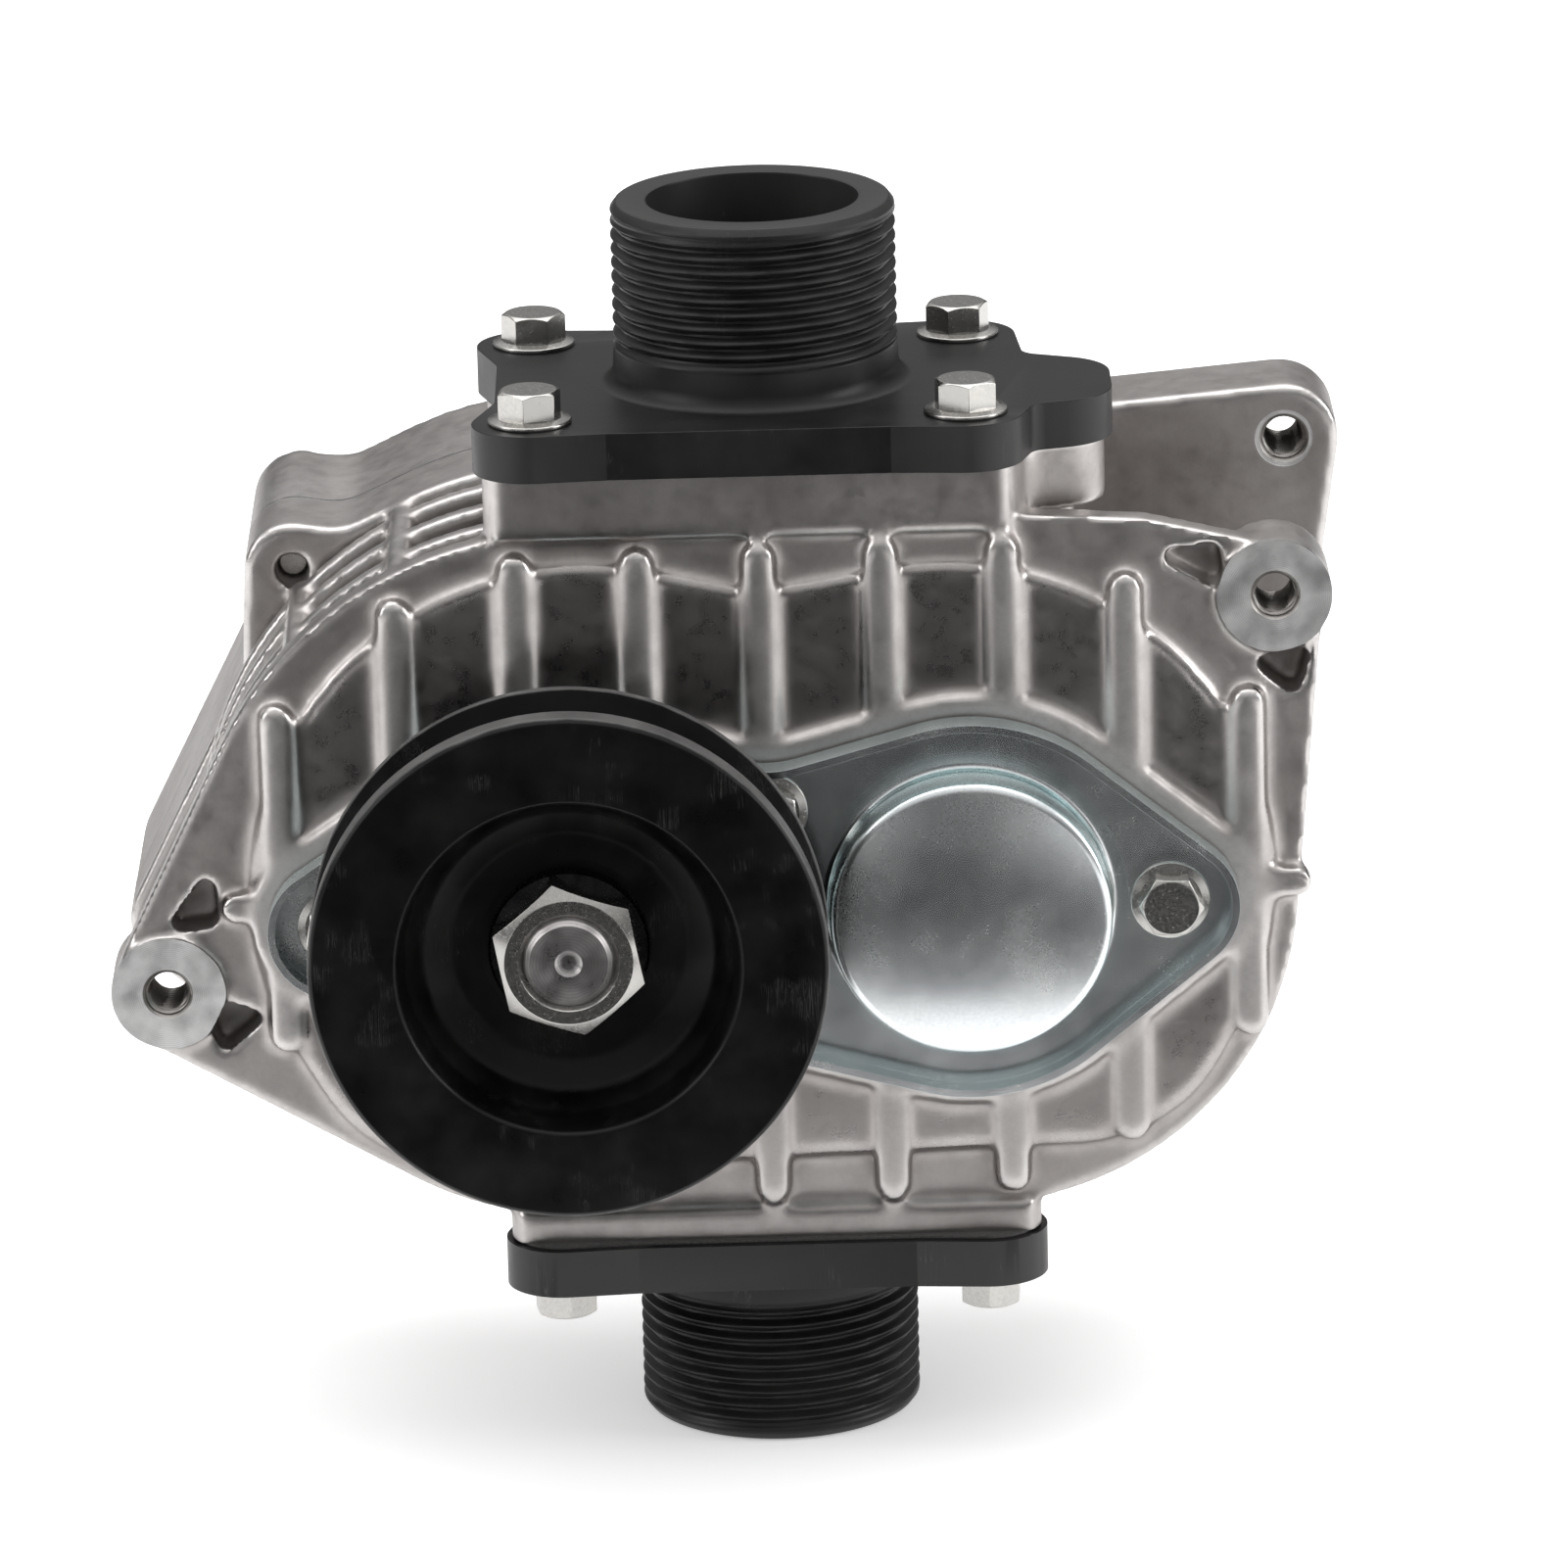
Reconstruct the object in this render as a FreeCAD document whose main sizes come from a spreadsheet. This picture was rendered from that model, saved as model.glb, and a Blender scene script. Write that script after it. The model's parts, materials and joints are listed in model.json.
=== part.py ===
import FreeCAD, Part
import math
import os
import Sketcher

# Twin-rotor supercharger, in millimetres.
# X runs to the right, Y runs from the pulley to the rear cover and Z runs up to the inlet.
# The origin is on the drive shaft's axis, in the middle plane of the belt groove.

SIZES = [
    # shafts
    ("axis_gap", 70.0),
    ("journal_r", 8.5),
    ("rotor_seat_r", 12.5),
    ("thread_r", 8.0),
    ("shaft_front", -8.4),
    ("shaft_rear", 115.0),
    # rotors and their chamber
    ("chamber_r", 52.65),
    ("chamber_front", 37.0),
    ("chamber_rear", 80.0),
    ("rotor_pitch_r", 35.0),
    ("rotor_gap", 0.08),
    ("rotor_end_gap", 0.15),
    # housing casting
    ("pad_front", 21.5),
    ("plateau_front", 23.5),
    ("slab_front", 25.5),
    ("slab_rear", 31.5),
    ("case_r", 57.8),
    ("fin_r", 66.5),
    ("fin_width", 4.5),
    ("fin_pitch", 13.5),
    ("crown_r", 67.5),
    ("flange_front", 73.0),
    ("flange_rear", 92.0),
    ("rib_width", 5.8),
    ("rib_pitch", 21.2),
    ("boss_r", 10.0),
    ("boss_front", 24.5),
    ("boss_rear", 39.5),
    ("mount_hole_r", 3.4),
    ("left_boss_x", -71.2),
    ("left_boss_z", -14.2),
    ("right_boss_x", 124.2),
    ("right_boss_z", 53.4),
    ("ear_x", 128.6),
    ("ear_z", 68.6),
    ("ear_r", 9.7),
    ("lug_x", -48.7),
    ("lug_z", 48.8),
    ("lug_r", 8.6),
    ("rear_foot_x", -71.0),
    ("rear_foot_z", -16.0),
    ("rear_foot_r", 9.3),
    # port blocks and adapters
    ("port_y", 56.6),
    ("port_bore_r", 18.5),
    ("inlet_seat", 77.8),
    ("outlet_seat", -62.0),
    ("gasket_thick", 0.4),
    ("adapter_flange", 8.4),
    ("spigot_r", 25.0),
    ("inlet_spigot", 32.7),
    ("outlet_spigot", 32.7),
    ("port_bolt_half_x", 37.8),
    ("port_bolt_half_y", 27.2),
    ("inlet_bolt_mid", 33.3),
    ("outlet_bolt_mid", 34.8),
    ("port_lobe_r", 10.2),
    # rear cover
    ("gear_room_r", 46.0),
    ("cover_rear", 125.5),
    ("cover_wall", 4.5),
    ("rear_gasket_thick", 0.5),
    ("plate_recess_r", 55.5),
    # bearings
    ("front_bearing_r", 20.0),
    ("front_bearing_width", 12.0),
    ("front_bearing_rear", 34.0),
    ("rear_bearing_r", 17.5),
    ("rear_bearing_width", 10.0),
    ("ball_gap", 0.02),
    ("running_gap", 0.05),
    # timing gears
    ("gear_module", 2.0),
    ("gear_teeth", 35.0),
    ("gear_front", 96.0),
    ("gear_width", 12.0),
    ("backlash", 0.12),
    # pulley
    ("pulley_r", 45.0),
    ("pulley_front", -12.0),
    ("pulley_rear", 9.0),
    ("hub_front", 2.5),
    ("groove_half", 6.8),
    ("groove_depth", 12.0),
    ("key_width", 5.0),
    # stamped bearing cover
    ("sheet_front", 19.5),
    ("sheet_thick", 1.2),
    ("lobe_r", 34.0),
    ("tip_r", 12.0),
    ("left_tip_x", -40.8),
    ("right_tip_x", 105.0),
    ("waist_r", 20.0),
    ("waist_z", 46.5),
    ("lip_height", 4.6),
    ("cap_r", 24.7),
    ("cap_height", 11.0),
    # fasteners
    ("bolt_r", 2.95),
    ("bolt_hole_r", 3.0),
    ("bolt_flats", 10.0),
    ("nut_flats", 24.0),
]


class Size:
    """A number together with the sheet formula that gives it."""

    def __init__(self, number, formula):
        self.number = float(number)
        self.formula = formula

    def __add__(self, other):
        other = as_size(other)
        return Size(self.number + other.number, f"({self.formula} + {other.formula})")

    def __sub__(self, other):
        other = as_size(other)
        return Size(self.number - other.number, f"({self.formula} - {other.formula})")

    def __mul__(self, other):
        other = as_size(other)
        return Size(self.number * other.number, f"({self.formula} * {other.formula})")

    def __truediv__(self, other):
        other = as_size(other)
        return Size(self.number / other.number, f"({self.formula} / {other.formula})")

    def __radd__(self, other):
        return as_size(other) + self

    def __rsub__(self, other):
        return as_size(other) - self

    def __neg__(self):
        return Size(-self.number, f"(0 - {self.formula})")

    def __float__(self):
        return self.number


def as_size(value):
    if isinstance(value, Size):
        return value
    return Size(value, f"({float(value)!r})")


doc = FreeCAD.newDocument("supercharger")
sheet = doc.addObject("Spreadsheet::Sheet", "dims")
for row, (alias, number) in enumerate(SIZES, start=1):
    sheet.set(f"A{row}", alias)
    sheet.set(f"B{row}", str(number))
    sheet.setAlias(f"B{row}", alias)
doc.recompute()

NODES = []
CUTS = []


def dim(alias):
    return Size(sheet.get(alias), f"dims.{alias}")


def bind(thing, prop, value):
    """Give a property its number and the formula that keeps it up to date."""
    value = as_size(value)
    thing.setExpression(prop, value.formula)


def keep(thing, label, x=0, y=0, z=0):
    """Name a sub-part, put it in its place and list it for export."""
    thing.Label = label
    for letter, value in (("x", x), ("y", y), ("z", z)):
        bind(thing, f"Placement.Base.{letter}", value)
    NODES.append(thing)
    return thing


# ---------------------------------------------------------------- sketches


def new_body(name):
    return doc.addObject("PartDesign::Body", name)


def new_sketch(body, role, level=0):
    """A sketch on one of the body's origin planes, moved along that plane's normal axis."""
    plane = [p for p in body.Origin.OriginFeatures if p.Role == role][0]
    sketch = body.newObject("Sketcher::SketchObject", "Sketch")
    sketch.AttachmentSupport = [(plane, "")]
    sketch.MapMode = "FlatFace"
    offset = -as_size(level) if role == "XZ_Plane" else as_size(level)
    bind(sketch, "AttachmentOffset.Base.z", offset)
    return sketch


def fix_distance(sketch, kind, geometry, point, value):
    """Hold a point at a bound distance from the sketch's origin."""
    value = as_size(value)
    if abs(value.number) < 1e-9:
        axis = -2 if kind == "DistanceX" else -1
        sketch.addConstraint(Sketcher.Constraint("PointOnObject", geometry, point, axis))
        return
    index = sketch.addConstraint(
        Sketcher.Constraint(kind, -1, 1, geometry, point, value.number)
    )
    bind(sketch, f"Constraints[{index}]", value)


def fix_radius(sketch, geometry, value):
    value = as_size(value)
    index = sketch.addConstraint(Sketcher.Constraint("Radius", geometry, value.number))
    bind(sketch, f"Constraints[{index}]", value)


def draw_circle(sketch, circle_at):
    x, y, r = circle_at
    centre = FreeCAD.Vector(float(x), float(y), 0)
    circle = Part.Circle(centre, FreeCAD.Vector(0, 0, 1), float(r))
    geometry = sketch.addGeometry(circle, False)
    fix_distance(sketch, "DistanceX", geometry, 3, x)
    fix_distance(sketch, "DistanceY", geometry, 3, y)
    fix_radius(sketch, geometry, r)


def draw_polygon(sketch, points):
    """A closed outline of straight lines whose corners are all bound."""
    corners = [FreeCAD.Vector(float(x), float(y), 0) for x, y in points]
    count = len(corners)
    lines = []
    for i in range(count):
        line = Part.LineSegment(corners[i], corners[(i + 1) % count])
        lines.append(sketch.addGeometry(line, False))
    for i in range(count):
        after = lines[(i + 1) % count]
        sketch.addConstraint(Sketcher.Constraint("Coincident", lines[i], 2, after, 1))
    for line, (x, y) in zip(lines, points):
        fix_distance(sketch, "DistanceX", line, 1, x)
        fix_distance(sketch, "DistanceY", line, 1, y)


def draw_band(sketch, circles):
    """A closed outline round circles, anticlockwise: (x, y, r), with r below 0 where it is hollow.

    Straight lines touch one circle and the next, so each corner is an arc."""
    count = len(circles)
    headings = []
    for i in range(count):
        x0, y0, r0 = (float(v) for v in circles[i])
        x1, y1, r1 = (float(v) for v in circles[(i + 1) % count])
        span = math.hypot(x1 - x0, y1 - y0)
        if span < 1e-9:
            raise ValueError("two neighbouring circles share a centre")
        turn = math.asin((r0 - r1) / span)
        headings.append(math.atan2(y1 - y0, x1 - x0) + turn)
    arcs = []
    lines = []
    for i in range(count):
        x, y, r = (float(v) for v in circles[i])
        first = headings[i - 1] - math.pi / 2
        last = headings[i] - math.pi / 2
        if r < 0:
            first, last = last + math.pi, first + math.pi
        while last < first:
            last += 2 * math.pi
        circle = Part.Circle(FreeCAD.Vector(x, y, 0), FreeCAD.Vector(0, 0, 1), abs(r))
        arcs.append(sketch.addGeometry(Part.ArcOfCircle(circle, first, last), False))
    for i in range(count):
        x0, y0, r0 = (float(v) for v in circles[i])
        x1, y1, r1 = (float(v) for v in circles[(i + 1) % count])
        nx = math.cos(headings[i] - math.pi / 2)
        ny = math.sin(headings[i] - math.pi / 2)
        start = FreeCAD.Vector(x0 + r0 * nx, y0 + r0 * ny, 0)
        end = FreeCAD.Vector(x1 + r1 * nx, y1 + r1 * ny, 0)
        lines.append(sketch.addGeometry(Part.LineSegment(start, end), False))
    for i in range(count):
        j = (i + 1) % count
        leave = 2 if float(circles[i][2]) > 0 else 1
        arrive = 1 if float(circles[j][2]) > 0 else 2
        sketch.addConstraint(Sketcher.Constraint("Tangent", arcs[i], leave, lines[i], 1))
        sketch.addConstraint(Sketcher.Constraint("Tangent", lines[i], 2, arcs[j], arrive))
    for arc, (x, y, r) in zip(arcs, circles):
        fix_distance(sketch, "DistanceX", arc, 3, x)
        fix_distance(sketch, "DistanceY", arc, 3, y)
        fix_radius(sketch, arc, r if float(r) > 0 else -as_size(r))


# ---------------------------------------------------------------- features


def add_feature(body, kind, sketch, length, forward):
    """A pad or pocket; forward is +Y for a sketch that faces the front and +Z for a flat one."""
    feature = body.newObject(f"PartDesign::{kind}", kind)
    feature.Profile = sketch
    feature.Refine = False
    bind(feature, "Length", length)
    faces_front = "XZ" in sketch.AttachmentSupport[0][0].Role
    along_normal = forward != faces_front
    feature.Reversed = not along_normal if kind == "Pad" else along_normal
    sketch.Visibility = False
    return feature


def pad(body, draw, shapes, level, length, role="XZ_Plane", forward=True):
    """Add every shape in the list, as one sketch, from a level."""
    sketch = new_sketch(body, role, level)
    for shape in shapes:
        draw(sketch, shape)
    return add_feature(body, "Pad", sketch, length, forward)


def pocket(body, draw, shapes, level, length, role="XZ_Plane", forward=True):
    """Cut every shape in the list, as one sketch, from a level."""
    sketch = new_sketch(body, role, level)
    for shape in shapes:
        draw(sketch, shape)
    CUTS.append(add_feature(body, "Pocket", sketch, length, forward))


def turned(name, profile, role="XY_Plane"):
    """A body turned from a profile of (radius, distance along the axis)."""
    body = new_body(name)
    sketch = new_sketch(body, role)
    draw_polygon(sketch, profile)
    turn = body.newObject("PartDesign::Revolution", "Revolution")
    turn.Profile = sketch
    turn.ReferenceAxis = (sketch, ["V_Axis"])
    turn.Angle = 360
    sketch.Visibility = False
    return body


def groove(body, profile, role):
    sketch = new_sketch(body, role)
    draw_polygon(sketch, profile)
    cut = body.newObject("PartDesign::Groove", "Groove")
    cut.Profile = sketch
    cut.ReferenceAxis = (sketch, ["V_Axis"])
    cut.Angle = 360
    sketch.Visibility = False
    CUTS.append(cut)


def ring(name, inner, outer, start, end, role="XY_Plane"):
    return turned(name, [(inner, start), (outer, start), (outer, end), (inner, end)], role)


def hexagon(flats, turn_deg=0.0):
    """Corners of a hexagon, from its width across flats."""
    corner = as_size(flats) / math.sqrt(3)
    points = []
    for i in range(6):
        angle = math.radians(60 * i + turn_deg)
        points.append((corner * math.cos(angle), corner * math.sin(angle)))
    return points


def copies(label, master, places, tilt=0.0):
    """One node of equal pieces: links to a master body, at (x, y, z), tilted about X."""
    links = []
    for x, y, z in places:
        link = doc.addObject("App::Link", f"{label}_piece")
        link.LinkedObject = master
        turn = FreeCAD.Rotation(FreeCAD.Vector(1, 0, 0), tilt)
        link.Placement = FreeCAD.Placement(FreeCAD.Vector(0, 0, 0), turn)
        for letter, value in (("x", x), ("y", y), ("z", z)):
            bind(link, f"Placement.Base.{letter}", value)
        links.append(link)
    group = doc.addObject("Part::Compound", label)
    group.Links = links
    group.Label = label
    NODES.append(group)
    return group


# ---------------------------------------------------------------- shared outlines


def twin_circle(r):
    """Outline of two equal overlapping circles on the shaft axes, with small fillets at the waist."""
    gap = dim("axis_gap")
    half = float(gap) / 2
    fillet = 2.0
    rise = math.sqrt((float(r) + fillet) ** 2 - half**2) * 1.0001
    return [
        (gap, 0, r),
        (gap / 2, rise, -fillet),
        (0, 0, r),
        (gap / 2, -rise, -fillet),
    ]


def cover_outline(grow):
    """The stamped cover's outline, grown all round."""
    gap = dim("axis_gap")
    lobe = dim("lobe_r") + grow
    tip = dim("tip_r") + grow
    waist = grow - dim("waist_r")
    left = dim("left_tip_x")
    right = dim("right_tip_x")
    high = dim("waist_z")
    return [
        (right, 0, tip),
        (gap, 0.001, lobe),
        (gap / 2, high, waist),
        (0, 0.001, lobe),
        (left, -1, tip),
        (0, -0.001, lobe),
        (gap / 2, -high, waist),
        (gap, -0.001, lobe),
    ]


def cover_bolt_places():
    """Bolt centres of the stamped cover, as (x, z)."""
    middle = dim("axis_gap") / 2
    return [
        (dim("left_tip_x"), -1),
        (dim("right_tip_x"), 0),
        (middle, 18),
        (middle, -18),
    ]


def rear_bolt_places():
    """Bolt centres of the rear cover, as (x, z)."""
    middle = dim("axis_gap") / 2
    return [
        (dim("lug_x"), dim("lug_z")),
        (dim("rear_foot_x"), dim("rear_foot_z")),
        (-39, -46),
        (middle, -52),
        (109, -46),
        (116, 50),
        (middle, 53),
    ]


def rear_outline(grow, with_ear):
    """The rear joint's outline: two arcs joined by lugs; the housing also has a mounting ear."""
    gap = dim("axis_gap")
    low = dim("case_r") + grow
    crown = dim("crown_r") + grow
    corner = (dim("ear_x"), dim("ear_z"), dim("ear_r") + grow)
    if not with_ear:
        corner = (116, 50, 10 + as_size(grow))
    return [
        corner,
        (0, 0.001, crown),
        (-41.1, 66.4, -10),
        (dim("lug_x"), dim("lug_z"), dim("lug_r") + grow),
        (-63.2, 30.7, -5 + as_size(grow)),
        (dim("rear_foot_x"), dim("rear_foot_z"), dim("rear_foot_r") + grow),
        (-39, -46, 7.5 + as_size(grow)),
        (0, -0.001, low),
        (gap, 0, low),
        (109, -46, 7.5 + as_size(grow)),
        (gap, 0.001, low),
    ]


def port_outline(middle, grow, with_wing):
    """Outline of a port flange, round its four bolts; the inlet's also has a wing on its right."""
    lobe = dim("port_lobe_r") + grow
    left = middle - dim("port_bolt_half_x")
    right = middle + dim("port_bolt_half_x")
    front = dim("port_y") - dim("port_bolt_half_y")
    rear = dim("port_y") + dim("port_bolt_half_y")
    fillet = 6 - as_size(grow)
    inset = 2.5 + 6.0
    side = 12.4
    outline = [
        (left, front, lobe),
        (left + 13.5, front - inset - 6.5, -fillet),
        (right - 13.5, front - inset - 6.5, -fillet),
        (right, front, lobe),
    ]
    if with_wing:
        notch = 4 - as_size(grow)
        wing = 11 + as_size(grow)
        outline.append((right + 15, front + 0.5, -notch))
        outline.append((right + 15, front + 16, wing))
        outline.append((right + 15, front + 26, wing))
        outline.append((right + 15, rear - 12, -notch))
    else:
        outline.append((right + side, front + 15, -fillet))
        outline.append((right + side, rear - 15, -fillet))
    outline.append((right, rear, lobe))
    outline.append((right - 13.5, rear + inset + 6.5, -fillet))
    outline.append((left + 13.5, rear + inset + 6.5, -fillet))
    outline.append((left, rear, lobe))
    outline.append((left - side, rear - 15, -fillet))
    outline.append((left - side, front + 15, -fillet))
    return outline


def port_bolt_places(middle):
    """Bolt centres of a port flange, as (x, y)."""
    places = []
    for side in (-1, 1):
        for end in (-1, 1):
            x = middle + dim("port_bolt_half_x") * side
            y = dim("port_y") + dim("port_bolt_half_y") * end
            places.append((x, y))
    return places


# ---------------------------------------------------------------- housing

# Each front rib: its place across, counted in pitches from the middle, its top and its foot.
FRONT_RIBS = [
    (-4, 38.5, -25.0),
    (-3, 57.0, -42.0),
    (-2, 64.5, -50.0),
    (-1, 65.0, -54.0),
    (0, 65.5, -55.5),
    (1, 66.0, -55.5),
    (2, 66.0, -54.5),
    (3, 58.5, -45.5),
    (4, 37.5, -26.5),
]


def add_slab(body):
    """The front wall: a slab that reaches out to the two front mounting bosses."""
    outline = [
        (dim("right_boss_x"), dim("right_boss_z"), 8.5),
        (100, 57.5, 10),
        (66, 40, 29.6),
        (14, 40, 30),
        (0, 0.001, dim("crown_r")),
        (dim("left_boss_x"), dim("left_boss_z"), dim("boss_r")),
        (0, -0.001, dim("case_r")),
        (dim("axis_gap"), 0, dim("case_r")),
    ]
    thick = dim("slab_rear") - dim("slab_front")
    pad(body, draw_band, [outline], dim("slab_front"), thick)


def add_case(body):
    """The rotor case between the slab and the rear flange."""
    depth = dim("flange_front") - dim("slab_rear") + 2
    outline = [(dim("axis_gap"), 0, dim("case_r")), (0, 0, dim("case_r"))]
    pad(body, draw_band, [outline], dim("slab_rear") - 1, depth)


def add_rear_flange(body):
    thick = dim("flange_rear") - dim("flange_front")
    pad(body, draw_band, [rear_outline(0, True)], dim("flange_front"), thick)


def add_fins(body):
    """Cooling fins round the upper left of the case, crossed by two ribs that run front to back."""
    outline = [
        (60, 0.001, dim("case_r")),
        (0, 0, dim("fin_r")),
        (-62, -8, 8),
        (0, -0.001, dim("case_r") - 1),
    ]
    for i in range(1, 4):
        level = dim("slab_rear") + dim("fin_pitch") * i - 6
        pad(body, draw_band, [outline], level, dim("fin_width"))
    depth = dim("flange_front") - dim("slab_rear") + 2
    reach = dim("crown_r") - 2.4
    ribs = []
    for angle in (116.0, 136.0):
        c = math.cos(math.radians(angle))
        s = math.sin(math.radians(angle))
        ribs.append([(50 * c, 50 * s, 2.6), (reach * c, reach * s, 2.3)])
    pad(body, draw_band, ribs, dim("slab_rear") - 1, depth)


def add_port_blocks(body):
    """The two cast blocks that carry the port adapters, each on a narrower neck."""
    top = dim("inlet_bolt_mid")
    low = dim("outlet_bolt_mid")
    step = 66.5
    height = dim("inlet_seat") - step
    pad(body, draw_band, [port_outline(top, -1.5, True)], step, height, "XY_Plane")
    pad(body, draw_band, [port_outline(top, -7, True)], 42, 25, "XY_Plane")
    seat = dim("outlet_seat")
    height = -56.5 - seat
    pad(body, draw_band, [port_outline(low, -1, False)], seat, height, "XY_Plane")
    pad(body, draw_band, [port_outline(low, -7, False)], -57, 20, "XY_Plane")


def add_front_relief(body):
    """The raised plateau, the cover's seat and the ribs on the front wall."""
    plateau = [
        (88, -17, 29),
        (66, 3, 57.8),
        (35, 87, -30),
        (3, 3, 59),
        (-17.5, -17.5, 31),
    ]
    root = dim("slab_front") + 1
    level = dim("plateau_front")
    pad(body, draw_band, [plateau], level, root - level)
    level = dim("pad_front")
    pad(body, draw_band, [cover_outline(3.2)], level, root - level)
    half = dim("rib_width") / 2
    middle = dim("axis_gap") / 2 - 0.6
    ribs = []
    for step, top, foot in FRONT_RIBS:
        x = middle + dim("rib_pitch") * step
        ribs.append([(x, foot + half, half), (x, top - half, half)])
    level = dim("pad_front") + 0.3
    pad(body, draw_band, ribs, level, root - level)
    short = half * 0.9
    stubs = [
        [(-58.5, 1.5, short), (-51, 1.5, short)],
        [(118, 1.5, short), (127.5, 1.5, short)],
    ]
    level = dim("pad_front") + 0.8
    pad(body, draw_band, stubs, level, root - level)


def add_mounting_bosses(body):
    """Front bosses with webs behind them, lightening pockets and tapped holes."""
    depth = dim("boss_rear") - dim("boss_front")
    r = dim("boss_r")
    left = (dim("left_boss_x"), dim("left_boss_z"))
    right = (dim("right_boss_x"), dim("right_boss_z"))
    level = dim("slab_rear") - 1
    web_depth = dim("boss_rear") - 1 - level
    pad(body, draw_band, [[(*left, r - 0.5), (0, 0, 58)]], level, web_depth)
    pad(body, draw_band, [[(70, 0, 58), (*right, r - 1.5)]], level, web_depth)
    discs = [(*left, r), (*right, r)]
    pad(body, draw_circle, discs, dim("boss_front"), depth)
    triangles = [
        [(106.6, 60.4, 1.6), (113.8, 56.4, 1.6), (113.2, 61.0, 1.6)],
        [(122.6, 40.6, 1.6), (127.0, 37.0, 1.6), (128.4, 42.0, 1.6)],
        [(-68.4, -1.6, 1.6), (-63.4, -1.0, 1.6), (-63.8, 4.6, 1.6)],
        [(-62.8, -17.4, 1.6), (-61.4, -23.6, 1.6), (-56.6, -19.6, 1.6)],
    ]
    pocket(body, draw_band, triangles, dim("slab_front"), 8)
    hole_r = dim("mount_hole_r")
    holes = [(*left, hole_r), (*right, hole_r)]
    pocket(body, draw_circle, holes, dim("boss_front"), depth)


def cut_chamber(body):
    """The rotor chamber, the bearing plate's recess, the bearing seats and the ports."""
    gap = dim("axis_gap")
    length = dim("chamber_rear") - dim("chamber_front")
    chamber = twin_circle(dim("chamber_r"))
    pocket(body, draw_band, [chamber], dim("chamber_front"), length)
    recess = twin_circle(dim("plate_recess_r"))
    pocket(body, draw_band, [recess], dim("chamber_rear"), 13)
    seat = dim("front_bearing_rear") - dim("pad_front")
    seats = [(x, 0, dim("front_bearing_r")) for x in (0, gap)]
    pocket(body, draw_circle, seats, dim("pad_front"), seat)
    throats = [(x, 0, 13) for x in (0, gap)]
    pocket(body, draw_circle, throats, dim("front_bearing_rear"), 4)
    port = (gap / 2, dim("port_y"), dim("port_bore_r"))
    pocket(body, draw_circle, [port], dim("inlet_seat"), 52, "XY_Plane", False)
    pocket(body, draw_circle, [port], dim("outlet_seat"), 35, "XY_Plane", True)


def face_blocks(body):
    """Trim the port blocks' fronts so that they stand a little proud of the slab."""
    front = 15.0
    depth = dim("slab_front") - 1.9 - front
    for low, high in ((66.2, 90), (-75, -55.7)):
        sheet = [(-20, low), (100, low), (100, high), (-20, high)]
        pocket(body, draw_polygon, [sheet], front, depth)


def face_rear(body):
    """The flat joint face, behind which no cast block may stand."""
    sheet = [(-90, -75), (140, -75), (140, 90), (-90, 90)]
    pocket(body, draw_polygon, [sheet], dim("flange_rear"), 3)


def cut_bolt_holes(body):
    r = dim("bolt_hole_r")
    holes = [(x, y, r) for x, y in port_bolt_places(dim("inlet_bolt_mid"))]
    pocket(body, draw_circle, holes, dim("inlet_seat"), 12.5, "XY_Plane", False)
    holes = [(x, y, r) for x, y in port_bolt_places(dim("outlet_bolt_mid"))]
    pocket(body, draw_circle, holes, dim("outlet_seat"), 5, "XY_Plane", True)
    holes = [(x, z, r) for x, z in cover_bolt_places()]
    pocket(body, draw_circle, holes, dim("pad_front"), 12)
    holes = [(x, z, r) for x, z in rear_bolt_places()]
    pocket(body, draw_circle, holes[:1], dim("flange_front") - 1, 20)
    pocket(body, draw_circle, holes[1:], dim("flange_rear") - 14, 15)
    ear = (dim("ear_x"), dim("ear_z"), dim("mount_hole_r"))
    pocket(body, draw_circle, [ear], dim("flange_front"), 20)
    pins = [(x, z, 3) for x, z in DOWELS]
    pocket(body, draw_circle, pins, dim("flange_rear") - 8, 9)


DOWELS = [(-60, 8), (121.2, 34)]


def make_housing():
    body = new_body("housing")
    add_case(body)
    add_slab(body)
    add_rear_flange(body)
    add_fins(body)
    add_port_blocks(body)
    add_front_relief(body)
    add_mounting_bosses(body)
    face_blocks(body)
    face_rear(body)
    cut_chamber(body)
    cut_bolt_holes(body)
    keep(body, "housing")


# ---------------------------------------------------------------- rear end


def make_rear_cover():
    """A deep cup over the timing gears, with a bolt column at each lug."""
    body = new_body("rear_cover")
    start = dim("flange_rear") + dim("rear_gasket_thick")
    depth = dim("cover_rear") - start
    pad(body, draw_band, [rear_outline(0, False)], start, depth)
    bulges = [(x, 0, 24) for x in (0, dim("axis_gap"))]
    pad(body, draw_circle, bulges, dim("cover_rear") - 1, 3)
    room = twin_circle(dim("gear_room_r"))
    pocket(body, draw_band, [room], start, depth - dim("cover_wall"))
    pocket(body, draw_circle, rear_clearance_holes(), start, depth + 3)
    pins = [(x, z, 3) for x, z in DOWELS]
    pocket(body, draw_circle, pins, start, 8)
    plugs = [(dim("axis_gap") / 2, z, 6) for z in PLUG_HEIGHTS]
    pocket(body, draw_circle, plugs, dim("cover_rear") - 6, 12)
    keep(body, "rear_cover")


def rear_clearance_holes():
    return [(x, z, dim("bolt_hole_r") + 0.3) for x, z in rear_bolt_places()]


PLUG_HEIGHTS = (24, -24)


def make_rear_gasket():
    body = new_body("rear_gasket")
    level = dim("flange_rear")
    thick = dim("rear_gasket_thick")
    pad(body, draw_band, [rear_outline(-0.2, False)], level, thick)
    room = twin_circle(dim("gear_room_r"))
    pocket(body, draw_band, [room], level, 1)
    pins = [(x, z, 3.1) for x, z in DOWELS]
    pocket(body, draw_circle, rear_clearance_holes() + pins, level, 1)
    keep(body, "rear_gasket")


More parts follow.
